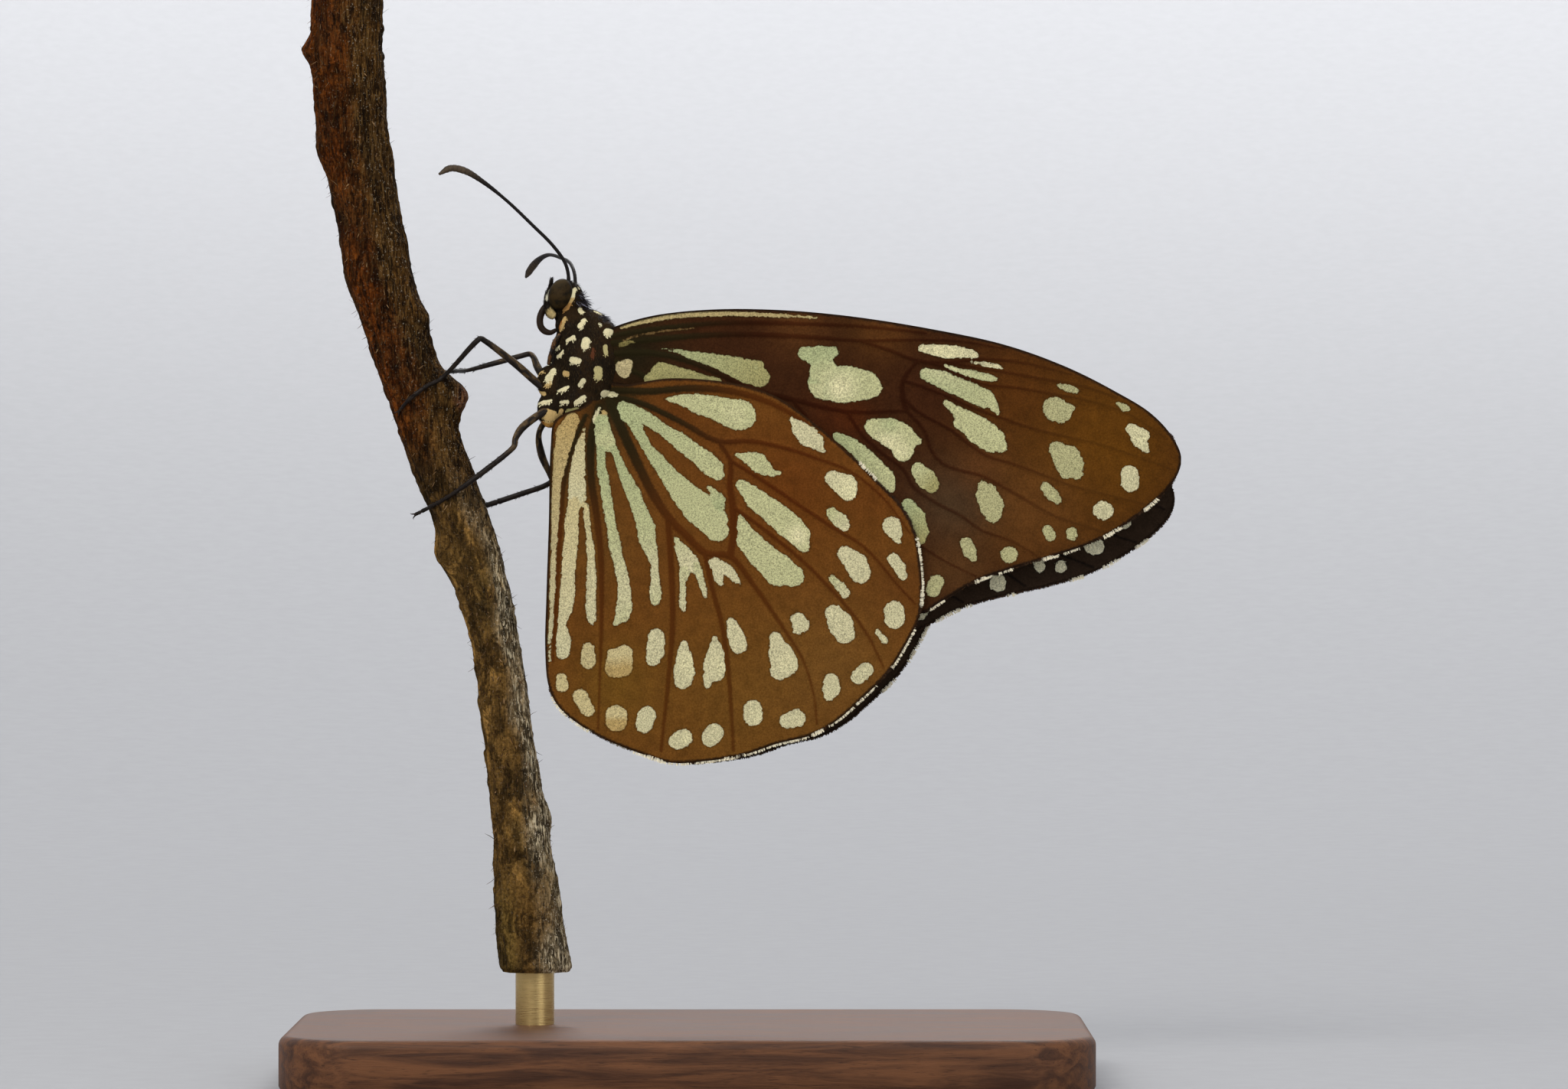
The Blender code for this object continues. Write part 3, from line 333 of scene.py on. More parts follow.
class Shade:
    """One material on a Principled shader, with a short call for each node."""

    def __init__(self, name, roughness=0.6, **sockets):
        self.mat = bpy.data.materials.new(name)
        self.mat.use_nodes = True
        self.tree = self.mat.node_tree
        self.shader = self.tree.nodes["Principled BSDF"]
        self.set("Roughness", roughness)
        for key, value in sockets.items():
            self.set(key.replace("_", " "), value)
        place = self.node("ShaderNodeTexCoord")
        scale = self.node("ShaderNodeVectorMath", operation="SCALE")
        scale.inputs["Scale"].default_value = 1000.0
        self.tree.links.new(place.outputs["Object"], scale.inputs[0])
        self.place = scale.outputs[0]

    def node(self, kind, **settings):
        node = self.tree.nodes.new(kind)
        for key, value in settings.items():
            setattr(node, key, value)
        return node

    def feed(self, socket, value):
        if isinstance(value, bpy.types.NodeSocket):
            self.tree.links.new(value, socket)
        elif socket.type == "RGBA":
            socket.default_value = (*value, 1.0)
        else:
            socket.default_value = value

    def set(self, name, value):
        self.feed(self.shader.inputs[name], value)

    def value(self, name):
        return self.node("ShaderNodeAttribute", attribute_name=name).outputs["Fac"]

    def tone(self, name="tone"):
        return self.node("ShaderNodeAttribute", attribute_name=name).outputs["Color"]

    def math(self, operation, a, b=0.0):
        node = self.node("ShaderNodeMath", operation=operation)
        self.feed(node.inputs[0], a)
        self.feed(node.inputs[1], b)
        return node.outputs[0]

    def span(self, value, low, high, out_low=0.0, out_high=1.0, soft=True):
        """A value mapped from low..high, clamped."""
        node = self.node("ShaderNodeMapRange", clamp=True)
        node.interpolation_type = "SMOOTHSTEP" if soft else "LINEAR"
        sockets = ("Value", "From Min", "From Max", "To Min", "To Max")
        for key, v in zip(sockets, (value, low, high, out_low, out_high)):
            self.feed(node.inputs[key], v)
        return node.outputs["Result"]

    def mix(self, share, a, b):
        node = self.node("ShaderNodeMix", data_type="RGBA", clamp_factor=True)
        self.feed(node.inputs[0], share)
        self.feed(node.inputs[6], a)
        self.feed(node.inputs[7], b)
        return node.outputs[2]

    def scaled(self, x, y, z):
        node = self.node("ShaderNodeVectorMath", operation="MULTIPLY")
        self.feed(node.inputs[0], self.place)
        node.inputs[1].default_value = (x, y, z)
        return node.outputs[0]

    def ragged(self, coarse, fine, coarse_share, fine_share):
        """Two noises about zero, added up, to fray the edge of a mark."""
        return self.math("ADD", self.math("MULTIPLY", self.math("SUBTRACT", coarse, 0.5), coarse_share),
                         self.math("MULTIPLY", self.math("SUBTRACT", fine, 0.5), fine_share))

    def noise(self, scale, detail=2.0, rough=0.5, place=None, warp=0.0):
        """Soft noise from 0 to 1, `scale` waves a millimetre."""
        node = self.node("ShaderNodeTexNoise")
        self.feed(node.inputs["Vector"], place or self.place)
        node.inputs["Scale"].default_value = scale
        node.inputs["Detail"].default_value = detail
        node.inputs["Roughness"].default_value = rough
        node.inputs["Distortion"].default_value = warp
        return node.outputs["Fac"]

    def cells(self, scale, rand=1.0):
        """Distance to the middle of small cells, `scale` cells a millimetre."""
        node = self.node("ShaderNodeTexVoronoi")
        self.feed(node.inputs["Vector"], self.place)
        node.inputs["Scale"].default_value = scale
        node.inputs["Randomness"].default_value = rand
        return node.outputs["Distance"]

    def times(self, colour, share):
        """A colour made lighter or darker by a number."""
        node = self.node("ShaderNodeVectorMath", operation="SCALE")
        self.feed(node.inputs[0], colour)
        self.feed(node.inputs["Scale"], share)
        return node.outputs[0]

    def bump(self, height, depth, strength=1.0):
        """Relief of `depth` millimetres for a height of 1."""
        node = self.node("ShaderNodeBump")
        node.inputs["Strength"].default_value = strength
        node.inputs["Distance"].default_value = depth * MM
        self.feed(node.inputs["Height"], height)
        self.set("Normal", node.outputs["Normal"])


def wing_material(name, upper):
    """Scaled wing: speckled ground, pale marks with a ragged edge, soft veins and a dark rim."""
    s = Shade(name, 0.85, Specular_IOR_Level=0.03)
    grain = s.noise(7.0, 3.0, 0.75)
    specks = s.noise(11.0, 1.0)
    middling = s.noise(3.2, 2.0)
    patchy = s.noise(1.1, 3.0, 0.55)
    rows = s.cells(8.5)
    edge = s.ragged(middling, grain, 0.3, 0.3)
    away = s.math("ADD", s.value("mark"), edge)
    mark = s.span(away, -0.03, 0.03, 1.0, 0.0)
    ring = s.span(away, 0.02, 0.2, 1.0, 0.0)
    ground = s.times(s.tone(), s.span(patchy, 0.25, 0.75, 0.82, 1.18, False))
    ground = s.times(ground, s.span(grain, 0.34, 0.66, 0.76, 1.24, False))
    ground = s.mix(s.math("MULTIPLY", ring, 0.45), ground, srgb(12, 9, 7) if upper else srgb(36, 26, 8))
    vein = s.span(s.math("ADD", s.value("vein"), s.math("MULTIPLY", edge, 0.5)), -0.12, 0.13, 1.0, 0.0)
    ground = s.mix(vein, ground, s.times(s.tone("vein_tone"), s.span(grain, 0.3, 0.7, 0.85, 1.15, False)))
    pale = s.times(s.tone("mark_tone"), s.span(grain, 0.36, 0.64, 0.66, 1.26, False))
    pale = s.times(pale, s.span(specks, 0.37, 0.46, 0.6, 1.0))
    pale = s.times(pale, s.span(rows, 0.15, 0.6, 1.04, 0.92, False))
    colour = s.mix(mark, ground, pale)
    rim = s.span(s.math("ADD", s.value("edge"), s.math("MULTIPLY", edge, 0.6)), 0.1, 0.3, 1.0, 0.0)
    colour = s.mix(s.math("MULTIPLY", rim, 0.85), colour, srgb(24, 17, 11))
    s.set("Base Color", colour)
    s.bump(s.math("ADD", s.math("MULTIPLY", grain, 0.6), s.math("MULTIPLY", rows, 0.6)), 0.02, 0.7)
    return s.mat


def coat_material(name, roughness=0.6):
    """Hair and scales: each tuft has its own tone, a little darker at the root."""
    s = Shade(name, roughness, Specular_IOR_Level=0.05)
    s.set("Base Color", s.times(s.tone(), s.span(s.value("reach"), 0.0, 0.8, 0.7, 1.05)))
    return s.mat


def horn_material(name, roughness, grain_scale, depth, contrast=0.25):
    """Horny skin whose tone comes with the mesh."""
    s = Shade(name, roughness, Specular_IOR_Level=0.12)
    grain = s.noise(grain_scale, 3.0, 0.6)
    broad = s.noise(grain_scale * 0.2, 2.0)
    colour = s.times(s.tone(), s.span(grain, 0.25, 0.75, 1.0 - contrast, 1.0 + contrast, False))
    colour = s.times(colour, s.span(broad, 0.3, 0.7, 1.0 - contrast * 0.6, 1.0 + contrast * 0.6, False))
    s.set("Base Color", colour)
    s.set("Roughness", s.span(grain, 0.3, 0.7, roughness * 0.85, min(1.0, roughness * 1.15), False))
    s.bump(grain, depth)
    return s.mat


def skin_material():
    """The body: dark skin under the coat, with pale scale patches of ragged outline."""
    s = Shade("body_skin", 0.85, Specular_IOR_Level=0.04)
    grain = s.noise(11.0, 3.0, 0.65)
    patchy = s.noise(2.4, 3.0, 0.6)
    edge = s.ragged(patchy, grain, 0.22, 0.12)
    mark = s.span(s.math("ADD", s.value("mark"), edge), -0.03, 0.03, 1.0, 0.0)
    ground = s.times(s.tone(), s.span(grain, 0.25, 0.75, 0.65, 1.4, False))
    pale = s.times(s.tone("mark_tone"), s.span(grain, 0.25, 0.75, 0.75, 1.15, False))
    s.set("Base Color", s.mix(mark, ground, pale))
    s.bump(s.math("ADD", grain, s.math("MULTIPLY", mark, 0.5)), 0.03)
    return s.mat


def eye_material():
    """Olive-brown facets, greyer above under a painted sheen, with a dark rim."""
    s = Shade("eye", 0.55, Specular_IOR_Level=0.07)
    facets = s.cells(24.0, rand=0.35)
    broad = s.noise(1.5, 3.0, 0.6)
    colour = s.mix(s.span(broad, 0.36, 0.62), srgb(25, 19, 7), srgb(54, 40, 17))
    # Painted sheen: a lighter, greyer tone over the top of the eye.
    colour = s.mix(s.value("sky_light"), colour, srgb(64, 52, 31))
    colour = s.mix(s.value("rim"), colour, srgb(16, 12, 7))
    s.set("Base Color", s.times(colour, s.span(facets, 0.1, 0.6, 1.2, 0.65)))
    s.bump(facets, -0.014, 0.9)
    return s.mat


def bark_material():
    """Bark: long fibres and cracks, pale streaks and specks over dark brown, tone set a point by the mesh."""
    s = Shade("bark", 0.9, Specular_IOR_Level=0.03)
    fibres = s.noise(1.0, 3.0, 0.6, s.scaled(2.4, 2.4, 0.25), 0.3)
    fine = s.noise(1.0, 3.0, 0.65, s.scaled(5.5, 5.5, 0.7), 0.3)
    mottle = s.noise(4.0, 3.0, 0.7)
    specks = s.noise(6.0, 2.0, 0.6)
    long_grain = s.value("fibrous")
    streaky = s.math("MULTIPLY", s.span(fibres, 0.34, 0.66, -0.6, 0.6, False), long_grain)
    colour = s.times(s.tone(), s.math("ADD", streaky, 1.0))
    colour = s.times(colour, s.span(mottle, 0.36, 0.64, 0.5, 1.5, False))
    blotch = s.noise(1.0, 5.0, 0.65, s.scaled(0.7, 0.7, 0.42), 0.8)
    colour = s.times(colour, s.span(blotch, 0.455, 0.53, 0.5, 1.3))
    streak = s.math("MULTIPLY", s.span(fine, 0.53, 0.61), s.value("pale"))
    lit = s.mix(s.span(s.value("pale"), 0.5, 0.9), srgb(140, 106, 60), srgb(196, 180, 148))
    colour = s.mix(s.math("MULTIPLY", streak, 0.85), colour, lit)
    cracks = s.math("MULTIPLY", s.span(fine, 0.46, 0.36), s.math("MULTIPLY", long_grain, 0.8))
    colour = s.mix(cracks, colour, srgb(18, 11, 5))
    bright = s.math("MULTIPLY", s.span(specks, 0.62, 0.7), s.value("pale"))
    colour = s.mix(bright, colour, srgb(196, 182, 158))
    s.set("Base Color", colour)
    s.set("Roughness", s.span(fibres, 0.3, 0.7, 0.68, 0.92, False))
    ridges = s.math("MULTIPLY", fibres, 0.8)
    s.bump(s.math("ADD", ridges, s.math("ADD", fine, s.math("MULTIPLY", specks, 0.4))), 0.2)
    return s.mat


def end_grain_material():
    """The sawn ends of the branch: rings round the pith."""
    s = Shade("sawn_end", 0.75)
    rings = s.node("ShaderNodeTexWave", wave_type="RINGS", rings_direction="Z")
    rings.inputs["Scale"].default_value = 0.55
    rings.inputs["Distortion"].default_value = 1.2
    rings.inputs["Detail"].default_value = 2.0
    shift = s.node("ShaderNodeVectorMath", operation="ADD")
    s.feed(shift.inputs[0], s.place)
    shift.inputs[1].default_value = (-PERCH_LINE[-1, 1], 0.0, 0.0)
    s.feed(rings.inputs["Vector"], shift.outputs[0])
    colour = s.mix(rings.outputs["Fac"], srgb(176, 138, 92), srgb(128, 92, 56))
    s.set("Base Color", s.times(colour, s.span(s.noise(4.0, 3.0), 0.3, 0.7, 0.8, 1.15, False)))
    s.bump(rings.outputs["Fac"], 0.05)
    return s.mat


def wood_material():
    """Dark satin wood of the base, with grain along its length."""
    s = Shade("base_wood", 0.6, Specular_IOR_Level=0.2, Coat_Weight=0.05, Coat_Roughness=0.4)
    grain = s.noise(1.0, 5.0, 0.6, s.scaled(0.09, 1.1, 1.1), 0.8)
    pores = s.noise(1.0, 3.0, 0.7, s.scaled(0.5, 6.0, 6.0), 0.1)
    colour = s.mix(s.span(grain, 0.3, 0.7), srgb(58, 34, 20), srgb(104, 66, 40))
    colour = s.mix(s.math("MULTIPLY", s.span(pores, 0.55, 0.7), 0.6), colour, srgb(34, 20, 12))
    s.set("Base Color", colour)
    s.set("Roughness", s.span(grain, 0.3, 0.7, 0.52, 0.66, False))
    s.bump(pores, -0.03)
    return s.mat


def metal_material():
    """Brushed brass of the rod."""
    s = Shade("rod_brass", 0.3, Metallic=1.0)
    lines = s.noise(1.0, 3.0, 0.6, s.scaled(0.6, 0.6, 14.0))
    s.set("Base Color", s.mix(lines, srgb(178, 150, 96), srgb(206, 180, 124)))
    s.set("Roughness", s.span(lines, 0.3, 0.7, 0.22, 0.42, False))
    s.bump(lines, 0.008)
    return s.mat


def stage_material():
    """Pale matt studio paper, a little deeper in tone on the floor, where most light falls; the walls carry a
    painted glow that grows with height.
    """
    s = Shade("paper", 0.95, Specular_IOR_Level=0.1)
    split = s.node("ShaderNodeSeparateXYZ")
    s.feed(split.inputs[0], s.place)
    height = s.span(split.outputs["Z"], 0.0, 300.0)
    colour = s.mix(height, (0.32, 0.322, 0.332), (0.62, 0.625, 0.642))
    s.set("Base Color", s.times(colour, s.span(s.noise(0.35, 3.0), 0.3, 0.7, 0.98, 1.02, False)))
    # Painted glow: the walls give off light of their own, from none on the floor to full strength 300 mm up.
    s.set("Emission Color", s.mix(height, (0.0, 0.0, 0.0), (0.19, 0.192, 0.2)))
    s.set("Emission Strength", 1.0)
    return s.mat


# Wings. Outlines and veins as in the solids, drawn as seen from the animal's left.

FOREWING_ROOT = (-6.2, 60.6)
HINDWING_ROOT = (-6.7, 56.4)
FAR_FOREWING_TURN = math.radians(3.9)
FAR_FOREWING_SHIFT = (0.4, -0.2)
FAR_HINDWING_SHIFT = (1.0, -0.15)
WING_HALF_THICKNESS = 0.06
VEIN_RISE = 0.11
WING_GRID = 0.2
BORDER_STEP, VEIN_STEP = 0.3, 0.22
# Rows of points beside each vein, in millimetres off its middle
VEIN_ROWS = (0.0, 0.12, -0.12, 0.26, -0.26)
# A gap larger than any that is measured
FAR_OFF = 9.0
VEIN_SHADE = np.array([0.6, 0.46, 0.4])
# Upper faces: dark ground and veins; their pale marks are lifted to a bright cream, a painted light as if
# shining through the wing, since these faces lie in shade.
UPPER_GROUND, UPPER_VEIN, UPPER_MARK_BACKLIT = srgb(42, 31, 22), srgb(20, 15, 11), srgb(228, 222, 190)

FOREWING_OUTLINE = [
    (-7.3, 61.5), (-6.0, 62.1), (-3.0, 62.95), (1.5, 63.45), (7.0, 63.45), (13.0, 62.95), (20.0, 61.85),
    (26.0, 60.55), (31.0, 58.75), (35.0, 56.75), (38.0, 54.9), (39.75, 53.0), (40.5, 51.3), (40.3, 50.1),
    (39.4, 48.7), (37.3, 46.8), (34.2, 44.75), (30.5, 43.3), (26.8, 42.2), (23.6, 41.05), (20.6, 39.3),
    (19.0, 38.4), (15.5, 40.6), (9.0, 46.0), (2.0, 51.8), (-3.0, 56.3), (-5.2, 57.1), (-7.2, 57.7),
]
HINDWING_OUTLINE = [
    (-7.2, 57.3), (-5.0, 57.3), (-2.0, 57.75), (1.0, 57.7), (4.5, 57.2), (7.2, 56.25), (10.4, 54.0),
    (13.1, 51.65), (15.5, 49.3), (17.5, 47.2), (18.5, 45.3), (18.95, 43.0), (19.15, 40.3), (18.9, 38.1),
    (17.5, 35.3), (16.3, 33.5), (14.3, 31.5), (12.0, 29.5), (10.0, 28.4), (7.2, 27.7), (4.5, 26.8),
    (1.5, 26.3), (-1.5, 26.15), (-4.0, 26.9), (-7.0, 28.1), (-9.2, 29.4), (-10.7, 30.7), (-11.55, 32.4),
    (-11.85, 35.5), (-11.75, 40.0), (-11.55, 46.0), (-11.4, 52.0), (-11.1, 54.2), (-10.2, 54.9),
    (-8.8, 55.4), (-7.9, 56.2),
]
# Veins: half width of the dark line at the root and at the end, then the points
FOREWING_VEINS = {
    "subcosta": (0.22, 0.12, [(-6.3, 61.3), (-2.0, 61.95), (3.0, 62.35), (9.0, 62.3), (15.0, 62.0),
                              (19.5, 61.5)]),
    "radius": (0.26, 0.08, [(-6.3, 60.7), (-3.0, 61.0), (3.0, 61.4), (9.0, 61.25), (14.0, 60.9),
                            (18.5, 60.95), (22.5, 60.8), (26.0, 60.2)]),
    "radius_2": (0.14, 0.06, [(14.0, 60.9), (16.5, 60.1), (18.8, 59.25), (21.5, 59.1), (24.0, 59.35),
                              (27.5, 59.05), (31.5, 58.1)]),
    "radius_4": (0.1, 0.06, [(21.5, 59.1), (23.5, 58.7), (26.0, 58.3), (29.0, 57.75), (32.5, 57.1),
                             (35.2, 56.2)]),
    "radius_5": (0.12, 0.06, [(18.8, 59.25), (20.8, 58.8), (22.2, 58.1), (24.3, 57.3), (27.0, 57.0),
                              (30.0, 56.5), (33.0, 55.9), (36.0, 54.9), (39.3, 52.8)]),
    "media_1": (0.12, 0.06, [(17.6, 57.6), (19.5, 57.0), (21.5, 56.2), (23.5, 55.3), (25.8, 54.5),
                             (28.5, 53.6), (31.0, 53.0), (34.0, 52.3), (37.0, 51.3), (39.7, 50.3)]),
    "media_2": (0.14, 0.06, [(17.6, 56.2), (18.9, 55.0), (21.6, 53.5), (23.0, 52.4), (24.5, 51.4),
                             (26.8, 50.7), (29.0, 49.9), (31.0, 49.1), (34.0, 48.3), (37.6, 47.4)]),
    "media_3": (0.14, 0.07, [(17.9, 55.1), (19.4, 53.4), (19.8, 52.1), (20.7, 50.9), (22.3, 50.2),
                             (24.0, 49.8), (27.0, 48.2), (30.2, 46.4), (32.0, 45.8), (34.2, 45.1)]),
    "cell_end": (0.12, 0.12, [(18.8, 59.25), (17.6, 57.6), (17.6, 56.2), (17.9, 55.1)]),
    "cubitus": (0.26, 0.14, [(-6.3, 59.8), (-3.5, 59.9), (-1.0, 59.5), (2.0, 58.4), (5.0, 56.9), (8.5, 56.05),
                             (13.0, 55.05), (17.9, 55.1)]),
    "cubitus_1": (0.14, 0.07, [(13.0, 55.05), (14.1, 53.3), (15.8, 51.7), (17.6, 50.3), (18.5, 48.8),
                               (20.2, 47.6), (22.5, 46.4), (24.0, 45.3), (26.5, 44.4), (28.6, 43.2)]),
    "cubitus_2": (0.14, 0.07, [(8.5, 56.05), (10.5, 53.5), (13.0, 50.0), (16.0, 46.3), (19.2, 43.9),
                               (21.5, 42.5), (23.6, 41.5)]),
    "anal": (0.22, 0.1, [(-6.2, 59.2), (-1.0, 56.4), (5.0, 51.3), (11.0, 46.0), (16.5, 41.3), (18.9, 39.2)]),
}
HINDWING_VEINS = {
    "subcosta": (0.3, 0.1, [(-6.4, 56.8), (-3.3, 56.7), (0.0, 56.95), (3.5, 56.7), (6.8, 55.7), (9.7, 54.1)]),
    "radius": (0.26, 0.07, [(-6.4, 56.3), (-4.0, 55.75), (-0.7, 54.2), (2.4, 52.6), (5.0, 52.6), (8.0, 52.0),
                            (11.0, 51.0), (13.3, 50.1), (16.0, 47.9), (18.2, 45.0)]),
    "cell_end": (0.16, 0.2, [(2.4, 52.6), (3.4, 51.0), (3.35, 49.0), (3.6, 47.2), (3.65, 45.0), (3.4, 43.1)]),
    "media_1": (0.16, 0.06, [(3.4, 51.0), (6.0, 49.4), (9.1, 47.3), (12.0, 45.4), (14.5, 43.8), (17.3, 40.6),
                             (18.6, 39.2)]),
    "media_2": (0.16, 0.06, [(3.6, 47.2), (6.5, 45.1), (9.5, 42.6), (12.7, 39.3), (14.6, 36.8),
                             (16.0, 34.0)]),
    "cubitus": (0.42, 0.08, [(-6.5, 55.9), (-5.5, 53.5), (-4.2, 50.7), (-3.0, 48.3), (-1.75, 46.4),
                             (0.0, 44.6), (1.3, 43.4), (3.4, 43.1), (5.0, 41.2), (7.7, 37.3), (9.4, 34.5),
                             (10.3, 31.5), (10.5, 29.3)]),
    "cubitus_1": (0.2, 0.07, [(1.3, 43.4), (1.9, 40.5), (2.7, 37.5), (3.2, 34.0), (3.5, 30.0), (3.65, 27.2)]),
    "cubitus_2": (0.26, 0.08, [(-1.75, 46.4), (-1.5, 43.0), (-1.35, 38.0), (-1.6, 34.0), (-2.0, 30.0),
                               (-2.3, 27.1)]),
    "anal_2": (0.36, 0.08, [(-7.4, 55.4), (-8.0, 53.0), (-8.05, 49.5), (-7.6, 46.5), (-7.25, 43.0),
                            (-7.2, 38.0), (-7.35, 33.0), (-7.5, 28.9)]),
    "anal_3": (0.2, 0.09, [(-8.5, 54.7), (-9.1, 53.4), (-10.15, 50.0), (-10.55, 46.0), (-10.75, 43.0),
                           (-11.0, 38.0), (-11.2, 34.5)]),
}

GREEN, CREAM, TAN = srgb(164, 169, 123), srgb(183, 181, 134), srgb(193, 177, 129)
PALE, BRIGHT, OLIVE = srgb(197, 189, 149), srgb(214, 206, 161), srgb(157, 150, 99)
OCHRE, DULL, BEIGE = srgb(174, 148, 94), srgb(171, 166, 121), srgb(182, 167, 124)

